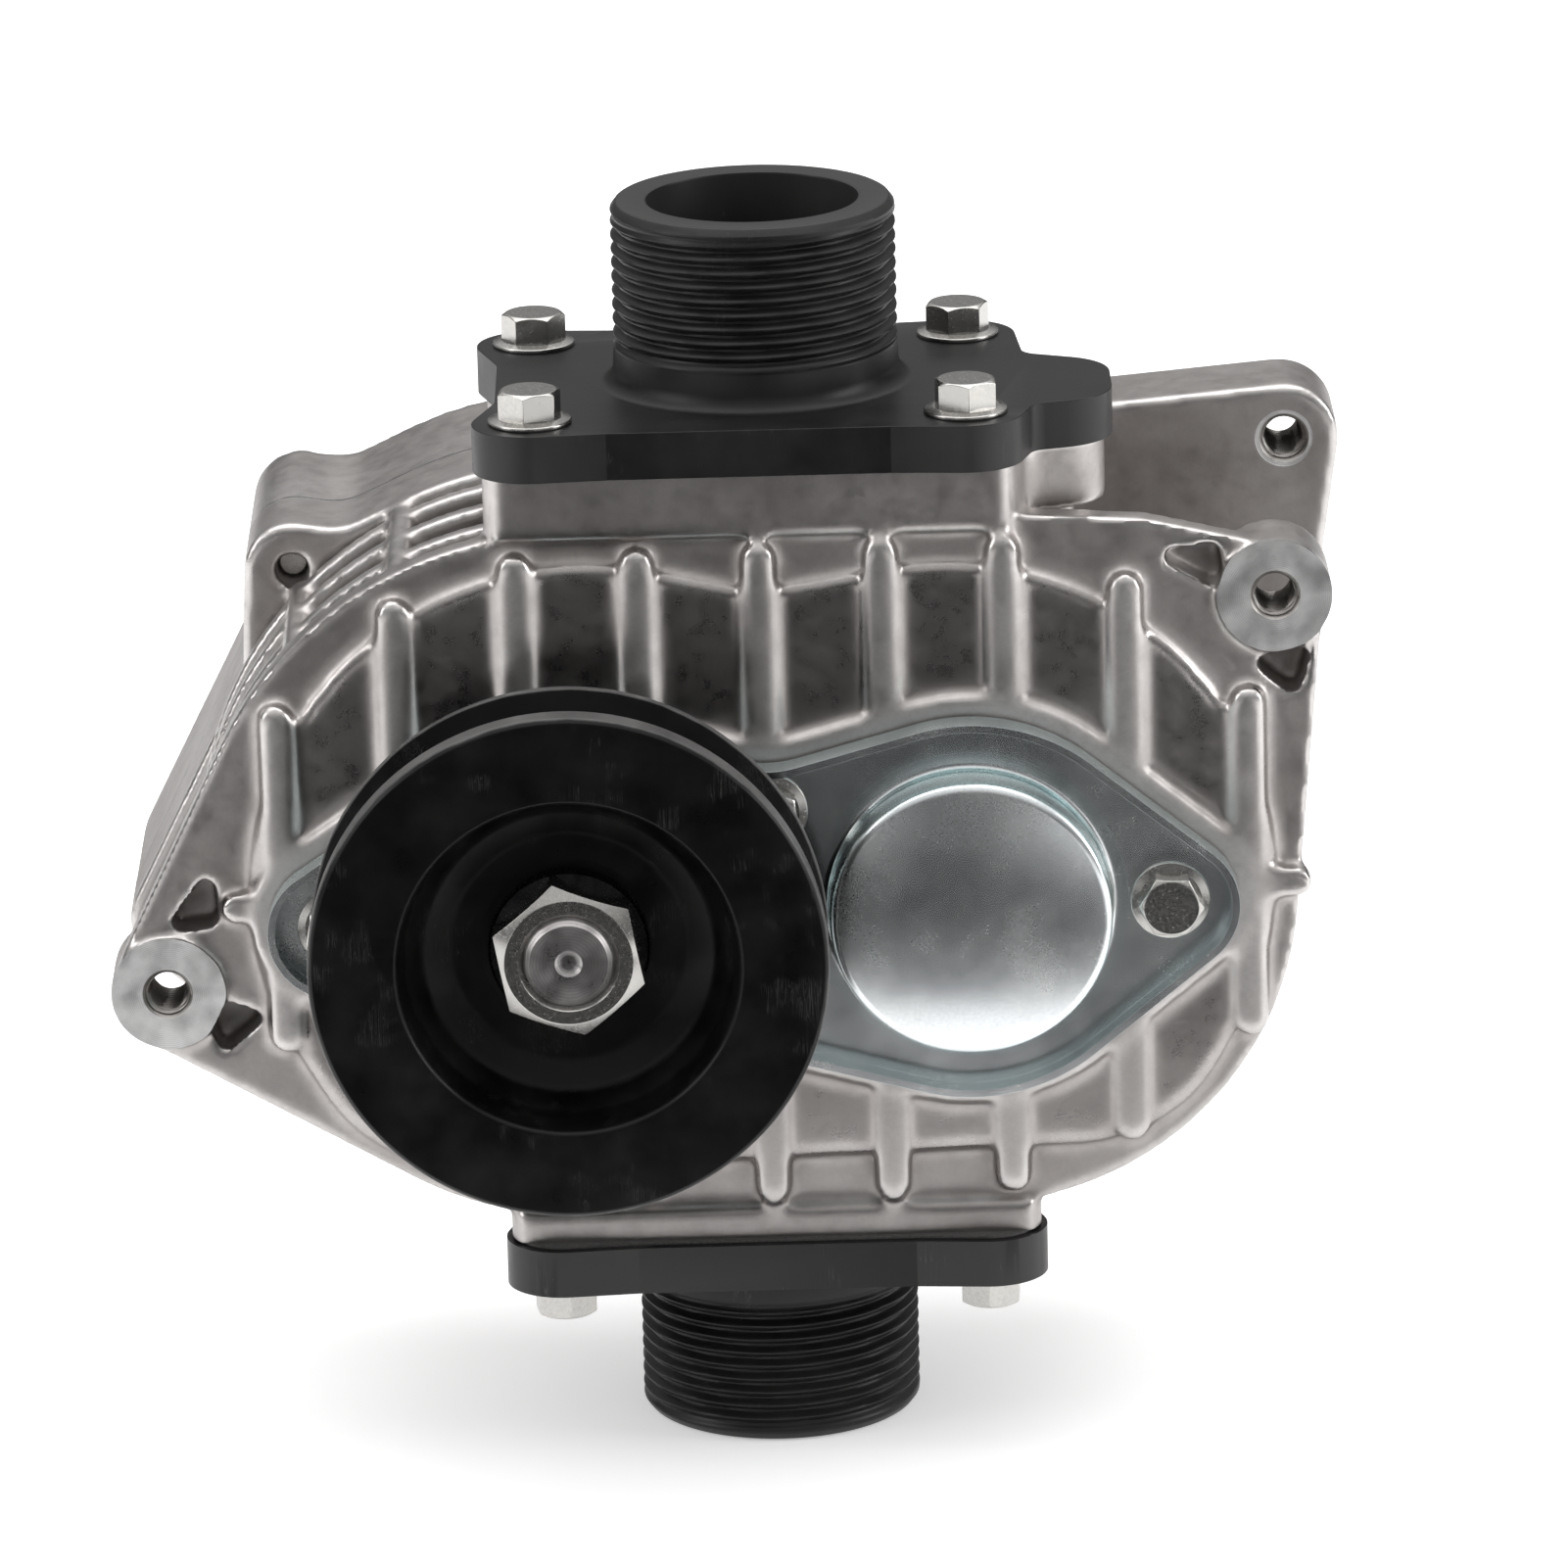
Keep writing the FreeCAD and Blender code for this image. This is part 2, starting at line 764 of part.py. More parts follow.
def make_bearing_plate():
    """The plate that closes the chamber and carries the rear bearings."""
    body = new_body("bearing_plate")
    level = dim("chamber_rear")
    thick = dim("flange_rear") - level
    edge = twin_circle(dim("plate_recess_r") - dim("running_gap"))
    pad(body, draw_band, [edge], level, thick)
    seat = dim("flange_rear") - dim("rear_bearing_width")
    seats = [(x, 0, dim("rear_bearing_r")) for x in (0, dim("axis_gap"))]
    pocket(body, draw_circle, seats, seat, 12)
    throats = [(x, 0, 13) for x in (0, dim("axis_gap"))]
    pocket(body, draw_circle, throats, level, 4)
    keep(body, "bearing_plate")


# ---------------------------------------------------------------- front end


def make_bearing_cover():
    """The stamped steel cover: a flat plate with a raised lip, one cap and one seal collar."""
    body = new_body("bearing_cover")
    front = dim("sheet_front")
    sheet_thick = dim("sheet_thick")
    lip = dim("lip_height")
    level = front - lip
    pad(body, draw_band, [cover_outline(0)], level, lip + sheet_thick)
    pocket(body, draw_band, [cover_outline(-1.3)], level, lip)
    gap = dim("axis_gap")
    rise = dim("cap_height")
    cap_front = front - rise
    pad(body, draw_circle, [(gap, 0, dim("cap_r"))], cap_front, rise)
    inner = dim("cap_r") - sheet_thick
    pocket(body, draw_circle, [(gap, 0, inner)], cap_front + sheet_thick, rise)
    collar_front = front - 6
    pad(body, draw_circle, [(0, 0, 18.2)], collar_front, 6)
    pocket(body, draw_circle, [(0, 0, 17)], collar_front, 8)
    holes = [(x, z, dim("bolt_hole_r") + 0.3) for x, z in cover_bolt_places()]
    pocket(body, draw_circle, holes, front, 2)
    keep(body, "bearing_cover")


def make_cover_gasket():
    body = new_body("cover_gasket")
    level = dim("sheet_front") + dim("sheet_thick")
    pad(body, draw_band, [cover_outline(-0.4)], level, dim("gasket_thick"))
    holes = [(x, z, dim("bolt_hole_r") + 0.3) for x, z in cover_bolt_places()]
    holes += [(x, 0, dim("front_bearing_r")) for x in (0, dim("axis_gap"))]
    pocket(body, draw_circle, holes, level, 1)
    keep(body, "cover_gasket")


def make_pulley():
    """A turned V-belt pulley with a dished face and a keyed hub."""
    r = dim("pulley_r")
    front = dim("pulley_front")
    rear = dim("pulley_rear")
    half = dim("groove_half")
    floor_r = r - dim("groove_depth")
    bore = dim("journal_r")
    profile = [
        (bore, dim("hub_front")),
        (15.5, dim("hub_front")),
        (21, 1.8),
        (26.5, -1.5),
        (28.6, -5),
        (29.6, front + 0.6),
        (30.2, front),
        (r - 0.7, front),
        (r, front + 0.7),
        (r, -half),
        (floor_r, -half + 4.2),
        (floor_r, half - 4.2),
        (r, half),
        (r, rear - 0.6),
        (r - 0.6, rear),
        (38, rear),
        (36, rear - 3),
        (19, rear - 3),
        (17, rear),
        (bore, rear),
    ]
    body = turned("pulley", profile)
    half_key = dim("key_width") / 2
    slot = [
        (-half_key, 0),
        (half_key, 0),
        (half_key, 10.8),
        (-half_key, 10.8),
    ]
    pocket(body, draw_polygon, [slot], dim("hub_front"), 8)
    keep(body, "pulley")


def make_pulley_key():
    body = new_body("pulley_key")
    half_key = dim("key_width") / 2
    block = [
        (-half_key, 5.5),
        (half_key, 5.5),
        (half_key, 10.6),
        (-half_key, 10.6),
    ]
    pad(body, draw_polygon, [block], 2.6, 6.3)
    keep(body, "pulley_key")


def make_pulley_washer():
    profile = [
        (dim("thread_r") + 0.3, 0),
        (13.6, 0),
        (14, 0.4),
        (14, dim("hub_front")),
        (dim("thread_r") + 0.3, dim("hub_front")),
    ]
    keep(turned("pulley_washer", profile), "pulley_washer")


def make_nut(label, flats, bore, front, rear, x, turn_deg):
    """A hexagon nut whose front corners are chamfered."""
    body = new_body(label)
    pad(body, draw_polygon, [hexagon(flats, turn_deg)], front, as_size(rear) - front)
    pocket(body, draw_circle, [(0, 0, bore)], front, as_size(rear) - front)
    flat_r = as_size(flats) / 2
    corner = [
        (flat_r - 0.8, as_size(front) - 0.01),
        (flat_r + 3.2, as_size(front) - 0.01),
        (flat_r + 3.2, as_size(front) + 2.2),
    ]
    groove(body, corner, "XY_Plane")
    keep(body, label, x=x)


def make_seal_sleeve():
    """The sleeve that holds the pulley off the bearing and that the oil seal runs on."""
    start = dim("pulley_rear")
    end = dim("front_bearing_rear") - dim("front_bearing_width")
    keep(ring("seal_sleeve", dim("journal_r"), 11, start, end), "seal_sleeve")


def make_shaft_seal():
    inner = 11 + dim("running_gap")
    front = dim("sheet_front") - 5.6
    profile = [
        (inner, front + 2.4),
        (12.4, front),
        (16.97, front),
        (16.97, front + 6.4),
        (13.2, front + 6.4),
        (13.2, front + 2.9),
        (12.2, front + 2.9),
        (inner, front + 4.4),
    ]
    keep(turned("shaft_seal", profile), "shaft_seal")


# ---------------------------------------------------------------- running gear


def make_drive_shaft():
    """Stepped shaft: threaded nose, pulley seat, journals, rotor seat and gear seat."""
    front = dim("shaft_front")
    seat = dim("rotor_seat_r")
    journal = dim("journal_r")
    thread = dim("thread_r")
    rotor_front = dim("chamber_front") + dim("rotor_end_gap")
    rotor_rear = dim("chamber_rear") - dim("rotor_end_gap")
    rear = dim("shaft_rear")
    profile = [
        (0, front + 1.8),
        (2.4, front),
        (thread - 1.2, front),
        (thread, front + 1.2),
        (thread, dim("hub_front")),
        (journal, dim("hub_front") + 0.5),
        (journal, rotor_front),
        (seat, rotor_front),
        (seat, rotor_rear),
        (journal, rotor_rear),
        (journal, dim("gear_front") + dim("gear_width") - 0.4),
        (thread, dim("gear_front") + dim("gear_width")),
        (thread, rear - 1),
        (thread - 1, rear),
        (0, rear),
    ]
    body = turned("drive_shaft", profile)
    half_key = dim("key_width") / 2
    slot = [
        (-half_key, 5.4),
        (half_key, 5.4),
        (half_key, 12),
        (-half_key, 12),
    ]
    pocket(body, draw_polygon, [slot], 2.5, 6.5)
    keep(body, "drive_shaft")


def make_driven_shaft():
    front = dim("sheet_front") + 1.5
    seat = dim("rotor_seat_r")
    journal = dim("journal_r")
    thread = dim("thread_r")
    rotor_front = dim("chamber_front") + dim("rotor_end_gap")
    rotor_rear = dim("chamber_rear") - dim("rotor_end_gap")
    rear = dim("shaft_rear")
    profile = [
        (0, front),
        (journal - 1, front),
        (journal, front + 1),
        (journal, rotor_front),
        (seat, rotor_front),
        (seat, rotor_rear),
        (journal, rotor_rear),
        (journal, dim("gear_front") + dim("gear_width") - 0.4),
        (thread, dim("gear_front") + dim("gear_width")),
        (thread, rear - 1),
        (thread - 1, rear),
        (0, rear),
    ]
    keep(turned("driven_shaft", profile), "driven_shaft", x=dim("axis_gap"))


def rotor_wire(pitch_r, gap, turn_deg):
    """Outline of a two-lobed rotor: lobes are epicycloids, hollows are hypocycloids."""
    roll = pitch_r / 4
    steps = 24
    edges = []
    for quarter in range(4):
        is_lobe = quarter % 2 == 0
        sign = 1 if is_lobe else -1
        points = []
        for i in range(steps + 1):
            angle = (math.pi / 2) * i / steps
            far = pitch_r + sign * roll
            spin = angle * far / roll
            x = far * math.cos(angle) - sign * roll * math.cos(spin)
            y = far * math.sin(angle) - roll * math.sin(spin)
            lean = (spin + angle) / 2 if is_lobe else (angle - spin) / 2
            nx = math.sin(lean) if is_lobe else math.cos(lean - math.pi / 2)
            ny = -math.cos(lean) if is_lobe else math.sin(lean - math.pi / 2)
            if nx * math.cos(angle) + ny * math.sin(angle) < 0:
                nx, ny = -nx, -ny
            base = math.radians(turn_deg - 45) + quarter * math.pi / 2
            px = x - gap * nx
            py = y - gap * ny
            c = math.cos(base)
            s = math.sin(base)
            points.append(FreeCAD.Vector(px * c - py * s, 0, px * s + py * c))
        edges.append(points)
    for i in range(4):
        joint = (edges[i][-1] + edges[(i + 1) % 4][0]) * 0.5
        edges[i][-1] = joint
        edges[(i + 1) % 4][0] = joint
    curves = []
    for points in edges:
        curve = Part.BSplineCurve()
        curve.interpolate(points)
        curves.append(curve.toShape())
    return Part.Wire(curves)


def make_rotor(label, x, turn_deg):
    """A rotor is a cycloid prism, which no sketch tool draws, bored for its shaft."""
    wire = rotor_wire(float(dim("rotor_pitch_r")), float(dim("rotor_gap")), turn_deg)
    front = float(dim("chamber_front") + dim("rotor_end_gap"))
    length = float(dim("chamber_rear") - dim("rotor_end_gap")) - front
    wire.translate(FreeCAD.Vector(0, front, 0))
    prism = Part.Face(wire).extrude(FreeCAD.Vector(0, length, 0))
    bore = Part.makeCylinder(
        float(dim("rotor_seat_r")),
        length,
        FreeCAD.Vector(0, front, 0),
        FreeCAD.Vector(0, 1, 0),
    )
    rotor = doc.addObject("Part::Feature", label)
    rotor.Shape = prism.cut(bore)
    keep(rotor, label, x=x)


def tooth_outline(module, teeth, backlash):
    """Points of an involute gear, with a tooth centred on the X axis."""
    pitch_r = module * teeth / 2
    base_r = pitch_r * math.cos(math.radians(20))
    tip_r = pitch_r + module
    root_r = pitch_r - 1.25 * module
    involute = math.tan(math.radians(20)) - math.radians(20)
    half_pitch = math.pi / (2 * teeth) - backlash / (2 * pitch_r)
    steps = 6
    flank = []
    for i in range(steps + 1):
        r = max(root_r + 0.5, base_r) + (tip_r - max(root_r + 0.5, base_r)) * i / steps
        pressure = math.acos(min(1.0, base_r / r))
        half = half_pitch + involute - (math.tan(pressure) - pressure)
        flank.append((r, half))
    points = []
    for tooth in range(teeth):
        middle = 2 * math.pi * tooth / teeth
        gap_edge = math.pi / teeth - (math.pi / teeth - flank[0][1]) * 0.55
        points.append((root_r, middle - gap_edge))
        for r, half in flank:
            points.append((r, middle - half))
        for r, half in reversed(flank):
            points.append((r, middle + half))
        points.append((root_r, middle + gap_edge))
    return [(r * math.cos(a), r * math.sin(a)) for r, a in points]


def make_gear(label, x):
    """A timing gear: an involute rim, a thinner web and a hub."""
    teeth = int(round(float(dim("gear_teeth"))))
    outline = tooth_outline(float(dim("gear_module")), teeth, float(dim("backlash")))
    front = float(dim("gear_front"))
    width = float(dim("gear_width"))
    corners = [FreeCAD.Vector(px, front, pz) for px, pz in outline]
    wire = Part.makePolygon(corners + [corners[0]])
    blank = Part.Face(wire).extrude(FreeCAD.Vector(0, width, 0))
    along = FreeCAD.Vector(0, 1, 0)
    start = FreeCAD.Vector(0, front, 0)
    blank = blank.cut(Part.makeCylinder(float(dim("journal_r")), width, start, along))
    web_depth = 3.0
    for level in (front, front + width - web_depth):
        place = FreeCAD.Vector(0, level, 0)
        dish = Part.makeCylinder(27, web_depth, place, along)
        hub = Part.makeCylinder(15, web_depth, place, along)
        blank = blank.cut(dish.cut(hub))
    gear = doc.addObject("Part::Feature", label)
    gear.Shape = blank
    keep(gear, label, x=x)


def make_gear_spacer(label, x):
    start = dim("flange_rear")
    keep(ring(label, dim("journal_r"), 11, start, dim("gear_front")), label, x=x)


def make_rotor_seals(label, level):
    """Two seal rings, one round each shaft."""
    inner = dim("journal_r") + dim("running_gap")
    master = ring(f"{label}_ring", inner, 12.95, 0, 1.9)
    places = [(0, level, 0), (dim("axis_gap"), level, 0)]
    copies(label, master, places)


def make_bearing(label, x, start, width, outer_r, balls):
    """A deep-groove bearing as three nodes: outer ring, inner ring, and balls in their cage."""
    bore = dim("journal_r")
    middle = (bore + outer_r) / 2
    ball_r = (outer_r - bore) * 0.29
    groove_r = float(ball_r + dim("ball_gap"))
    land = float(ball_r) * 0.62
    centre = as_size(start) + width / 2
    steps = 8
    reach = math.acos(land / groove_r)
    inner_groove = []
    outer_groove = []
    for i in range(steps + 1):
        angle = -reach + 2 * reach * i / steps
        along = groove_r * math.sin(angle)
        deep = groove_r * math.cos(angle)
        inner_groove.append((middle - deep, centre + along))
        outer_groove.append((middle + deep, centre + along))
    end = as_size(start) + width
    inner_ring = [(bore, start), (middle - land, start)] + inner_groove
    inner_ring += [(middle - land, end), (bore, end)]
    outer_ring = [(outer_r, end), (middle + land, end)] + outer_groove[::-1]
    outer_ring += [(middle + land, start), (outer_r, start)]
    keep(turned(f"{label}_inner", inner_ring), f"{label}_inner", x=x)
    keep(turned(f"{label}_outer", outer_ring), f"{label}_outer", x=x)
    balls_at = doc.addObject("Part::Feature", f"{label}_balls")
    balls_at.Shape = caged_balls(float(ball_r), float(middle), float(centre), balls)
    keep(balls_at, f"{label}_balls", x=x)


def caged_balls(ball_r, track_r, level, count):
    """A ring of loose balls in the pockets of a thin cage, built on the bearing's axis."""
    along = FreeCAD.Vector(0, 1, 0)
    width = ball_r * 2.3
    start = FreeCAD.Vector(0, level - width / 2, 0)
    cage = Part.makeCylinder(track_r + 0.8, width, start, along)
    cage = cage.cut(Part.makeCylinder(track_r - 0.8, width, start, along))
    centre = FreeCAD.Vector(0, level, 0)
    spheres = []
    for i in range(count):
        angle = 2 * math.pi * i / count
        outward = FreeCAD.Vector(math.cos(angle), 0, math.sin(angle))
        reach = ball_r * 4
        window = Part.makeCylinder(ball_r + 0.03, reach, centre + outward * 6, outward)
        cage = cage.cut(window)
        spheres.append(Part.makeSphere(ball_r, centre + outward * track_r, along))
    return Part.makeCompound([cage] + spheres)


# ---------------------------------------------------------------- port adapters


def port_clearance_holes(middle):
    r = dim("bolt_hole_r") + 0.3
    return [(x, y, r) for x, y in port_bolt_places(middle)]


def make_adapter(label, middle, seat, length, up, with_wing):
    """A moulded port adapter: a lobed flange and a round spigot with a plain bore."""
    body = new_body(label)
    thick = dim("adapter_flange")
    reach = thick + length
    x = dim("axis_gap") / 2
    y = dim("port_y")
    start = seat if up else seat - thick
    foot = seat if up else seat - reach
    outline = port_outline(middle, 0, with_wing)
    pad(body, draw_band, [outline], start, thick, "XY_Plane")
    pad(body, draw_circle, [(x, y, dim("spigot_r"))], foot, reach, "XY_Plane")
    bore = (x, y, dim("port_bore_r"))
    pocket(body, draw_circle, [bore], foot, reach, "XY_Plane")
    holes = port_clearance_holes(middle)
    pocket(body, draw_circle, holes, start, thick, "XY_Plane")
    keep(body, label)


def make_port_gasket(label, middle, level, with_wing):
    body = new_body(label)
    outline = port_outline(middle, -1.8, with_wing)
    pad(body, draw_band, [outline], level, dim("gasket_thick"), "XY_Plane")
    bore = (dim("axis_gap") / 2, dim("port_y"), dim("port_bore_r"))
    holes = port_clearance_holes(middle) + [bore]
    pocket(body, draw_circle, holes, level, 1, "XY_Plane")
    keep(body, label)


# ---------------------------------------------------------------- fasteners


def bolt_master(name, length, disc_r, disc_thick, head, flats):
    """A hexagon bolt along Z, its head's underside at zero."""
    shank = dim("bolt_r")
    profile = [
        (0, -as_size(length)),
        (shank - 0.6, -as_size(length)),
        (shank, 0.6 - as_size(length)),
        (shank, 0),
        (disc_r, 0),
        (disc_r, disc_thick * 0.55),
        (disc_r - 1.4, disc_thick),
        (0, disc_thick),
    ]
    body = turned(name, profile, "XZ_Plane")
    height = head - disc_thick + 0.2
    pad(body, draw_polygon, [hexagon(flats)], disc_thick - 0.2, height, "XY_Plane")
    flat_r = as_size(flats) / 2
    corner = [
        (flat_r - 0.5, head + 0.01),
        (flat_r + 1.6, head + 0.01),
        (flat_r + 1.6, head - 1.1),
    ]
    groove(body, corner, "XZ_Plane")
    return body


def make_bolts():
    flats = dim("bolt_flats")
    upper_bolt = bolt_master("inlet_bolt", 21, 7.3, 1.2, 6, flats)
    lower_bolt = bolt_master("outlet_bolt", 13.6, 7.3, 1.2, 6, flats)
    top = dim("inlet_seat") + dim("gasket_thick") + dim("adapter_flange")
    low = dim("outlet_seat") - dim("gasket_thick") - dim("adapter_flange")
    inlet = [(x, y, top) for x, y in port_bolt_places(dim("inlet_bolt_mid"))]
    outlet = [(x, y, low) for x, y in port_bolt_places(dim("outlet_bolt_mid"))]
    copies("inlet_bolts", upper_bolt, inlet)
    copies("outlet_bolts", lower_bolt, outlet, 180.0)
    short_bolt = bolt_master("cover_bolt", 12, 7.0, 0.9, 5.2, flats)
    front = [(x, dim("sheet_front"), z) for x, z in cover_bolt_places()]
    copies("cover_bolts", short_bolt, front, 90.0)
    rear_bolt = bolt_master("rear_bolt", 46, 7.0, 1.5, 7.2, flats)
    rear = [(x, dim("cover_rear"), z) for x, z in rear_bolt_places()]
    copies("rear_cover_bolts", rear_bolt, rear, -90.0)


def make_dowels():
    length = 15.4
    master = ring("dowel", 0, 2.98, 0, length)
    level = dim("flange_rear") + dim("rear_gasket_thick") / 2 - length / 2
    copies("dowel_pins", master, [(x, level, z) for x, z in DOWELS])


def make_plugs():
    """Oil filler and drain plugs in the rear cover, on soft washers."""
    seat = dim("cover_rear")
    washer = 1.2
    thread = 5.95
    names = ("oil_fill_plug", "oil_drain_plug")
    for label, z in zip(names, PLUG_HEIGHTS):
        plug = new_body(label)
        face = seat + washer
        pad(plug, draw_polygon, [hexagon(14)], face + 1.5, 6)
        pad(plug, draw_circle, [(0, 0, 9)], face, 2)
        pad(plug, draw_circle, [(0, 0, thread)], seat - 4, washer + 5)
        keep(plug, label, x=dim("axis_gap") / 2, z=z)
    master = ring("plug_washer", 6.1, 9.5, 0, washer)
    middle = dim("axis_gap") / 2
    copies("plug_washers", master, [(middle, seat, z) for z in PLUG_HEIGHTS])


# ---------------------------------------------------------------- the assembly


def make_all():
    gap = dim("axis_gap")
    make_housing()
    make_rear_cover()
    make_rear_gasket()
    make_bearing_plate()
    make_bearing_cover()
    make_cover_gasket()
    make_pulley()
    make_pulley_key()
    make_pulley_washer()
    make_nut("pulley_nut", dim("nut_flats"), dim("thread_r"), -8, 0, 0, 19.4)
    make_seal_sleeve()
    make_shaft_seal()
    make_drive_shaft()
    make_driven_shaft()
    make_rotor("drive_rotor", 0, 0.0)
    make_rotor("driven_rotor", gap, 90.0)
    nut_front = dim("gear_front") + dim("gear_width")
    for side, x in (("drive", 0), ("driven", gap)):
        make_gear(f"{side}_gear", x)
        make_gear_spacer(f"{side}_gear_spacer", x)
        flats = dim("nut_flats")
        bore = dim("thread_r")
        make_nut(f"{side}_gear_nut", flats, bore, nut_front, nut_front + 5, x, 0.0)
        width = dim("front_bearing_width")
        start = dim("front_bearing_rear") - width
        outer = dim("front_bearing_r")
        make_bearing(f"{side}_front_bearing", x, start, width, outer, 8)
        width = dim("rear_bearing_width")
        start = dim("flange_rear") - width
        outer = dim("rear_bearing_r")
        make_bearing(f"{side}_rear_bearing", x, start, width, outer, 9)
    make_rotor_seals("front_rotor_seals", dim("front_bearing_rear") + 0.3)
    make_rotor_seals("rear_rotor_seals", dim("chamber_rear") + 0.05)
    seat = dim("inlet_seat")
    top = dim("gasket_thick") + seat
    middle = dim("inlet_bolt_mid")
    make_adapter("inlet_adapter", middle, top, dim("inlet_spigot"), True, True)
    make_port_gasket("inlet_gasket", middle, seat, True)
    seat = dim("outlet_seat")
    low = seat - dim("gasket_thick")
    middle = dim("outlet_bolt_mid")
    make_adapter("outlet_adapter", middle, low, dim("outlet_spigot"), False, False)
    make_port_gasket("outlet_gasket", middle, low, False)
    make_bolts()
    make_dowels()
    make_plugs()


def export_all():
    """Check every object and write one file for each node."""
    doc.recompute()
    for thing in doc.Objects:
        if "Invalid" in thing.State or "Error" in thing.State:
            raise RuntimeError(f"{thing.Label} failed: {thing.State}")
    for cut in CUTS:
        if cut.Shape.Volume >= cut.BaseFeature.Shape.Volume:
            raise RuntimeError(f"{cut.Name} in {cut.getParentGeoFeatureGroup().Name} cuts nothing")
    os.makedirs("parts", exist_ok=True)
    for thing in NODES:
        shape = thing.Shape
        if shape.isNull() or not shape.isValid():
            raise RuntimeError(f"{thing.Label} has no valid shape")
        shape.exportStep(f"parts/{thing.Label}.step")
        print(thing.Label, len(shape.Solids), round(shape.Volume, 1))


make_all()
export_all()
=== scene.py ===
import json
import math

import bmesh
import bpy
import numpy as np
from mathutils import Matrix, Vector


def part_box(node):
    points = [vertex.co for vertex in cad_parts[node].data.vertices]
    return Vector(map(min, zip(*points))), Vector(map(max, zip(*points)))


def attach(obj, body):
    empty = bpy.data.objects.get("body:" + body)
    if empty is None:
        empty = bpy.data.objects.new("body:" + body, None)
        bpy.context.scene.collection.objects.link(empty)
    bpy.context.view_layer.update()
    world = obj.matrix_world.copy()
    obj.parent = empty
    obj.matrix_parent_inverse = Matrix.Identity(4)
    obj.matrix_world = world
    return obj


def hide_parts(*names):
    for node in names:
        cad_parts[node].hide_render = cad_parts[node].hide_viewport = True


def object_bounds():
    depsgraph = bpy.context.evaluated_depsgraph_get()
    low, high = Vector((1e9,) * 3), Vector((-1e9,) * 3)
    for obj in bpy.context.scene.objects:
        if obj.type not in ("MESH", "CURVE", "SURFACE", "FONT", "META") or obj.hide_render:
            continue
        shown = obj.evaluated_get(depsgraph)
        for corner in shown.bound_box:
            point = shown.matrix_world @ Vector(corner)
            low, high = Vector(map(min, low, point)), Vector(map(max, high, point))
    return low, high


# Looks for the twin-rotor supercharger. Everything is in metres, in the CAD frame:
# +X right, +Y from the pulley to the rear cover, +Z up to the inlet.

MM = 0.001

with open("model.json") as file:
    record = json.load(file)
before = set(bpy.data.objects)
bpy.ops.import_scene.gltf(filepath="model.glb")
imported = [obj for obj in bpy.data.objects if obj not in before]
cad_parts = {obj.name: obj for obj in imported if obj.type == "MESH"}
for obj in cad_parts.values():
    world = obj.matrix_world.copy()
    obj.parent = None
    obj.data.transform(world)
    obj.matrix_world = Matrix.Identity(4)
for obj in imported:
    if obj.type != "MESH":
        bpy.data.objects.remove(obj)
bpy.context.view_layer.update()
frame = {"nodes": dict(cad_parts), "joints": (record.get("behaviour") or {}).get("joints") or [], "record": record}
NODES = frame["nodes"]


def mount(name):
    """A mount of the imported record: its position and its sizes in metres."""
    found = [m for m in frame["record"]["mounts"] if m["name"] == name][0]
    sizes = {key[:-3]: value * MM for key, value in found["dims"].items() if key.endswith("_mm")}
    return Vector(found["pos_m"]), sizes


# ---------------------------------------------------------------- mesh tools


def solid(name, verts, faces):
    """A new mesh object with outward normals."""
    mesh = bpy.data.meshes.new(name)
    mesh.from_pydata([tuple(v) for v in verts], [], faces)
    form = bmesh.new()
    form.from_mesh(mesh)
    bmesh.ops.recalc_face_normals(form, faces=form.faces)
    form.to_mesh(mesh)
    form.free()
    piece = bpy.data.objects.new(name, mesh)
    bpy.context.collection.objects.link(piece)
    return piece


def node_form(node):
    """A CAD node's mesh as one watertight form, with its split corners joined again."""
    mesh = NODES[node].data
    form = bmesh.new()
    verts = [form.verts.new(v.co) for v in mesh.vertices]
    form.verts.ensure_lookup_table()
    for polygon in mesh.polygons:
        form.faces.new([verts[i] for i in polygon.vertices])
    bmesh.ops.remove_doubles(form, verts=form.verts, dist=1e-6)
    bmesh.ops.recalc_face_normals(form, faces=form.faces)
    return form


def form_object(name, form):
    mesh = bpy.data.meshes.new(name)
    form.to_mesh(mesh)
    form.free()
    piece = bpy.data.objects.new(name, mesh)
    bpy.context.collection.objects.link(piece)
    return piece


def settle(piece):
    """Apply every modifier of a piece to its mesh."""
    graph = bpy.context.evaluated_depsgraph_get()
    mesh = bpy.data.meshes.new_from_object(piece.evaluated_get(graph))
    piece.modifiers.clear()
    old = piece.data
    piece.data = mesh
    bpy.data.meshes.remove(old)


def combine(piece, other, operation):
    """Join, cut or intersect a piece with another, which is used up."""
    modifier = piece.modifiers.new("combine", "BOOLEAN")
    modifier.operation = operation
    modifier.solver = "MANIFOLD"
    modifier.object = other
    settle(piece)
    bpy.data.objects.remove(other)


def join(name, pieces):
    """One object that holds the meshes of several."""
    form = bmesh.new()
    for piece in pieces:
        form.from_mesh(piece.data)
    merged = form_object(name, form)
    for material in pieces[0].data.materials:
        merged.data.materials.append(material)
    for piece in pieces:
        bpy.data.objects.remove(piece)
    return merged


def place(piece, at, axis="Z"):
    """Move a piece that was built along +Z so that it runs along an axis from a point."""
    turns = {
        "Z": Matrix.Identity(4),
        "-Z": Matrix.Rotation(math.pi, 4, "X"),
        "Y": Matrix.Rotation(-math.pi / 2, 4, "X"),
        "-Y": Matrix.Rotation(math.pi / 2, 4, "X"),
    }
    piece.data.transform(Matrix.Translation(Vector(at)) @ turns[axis])
    return piece


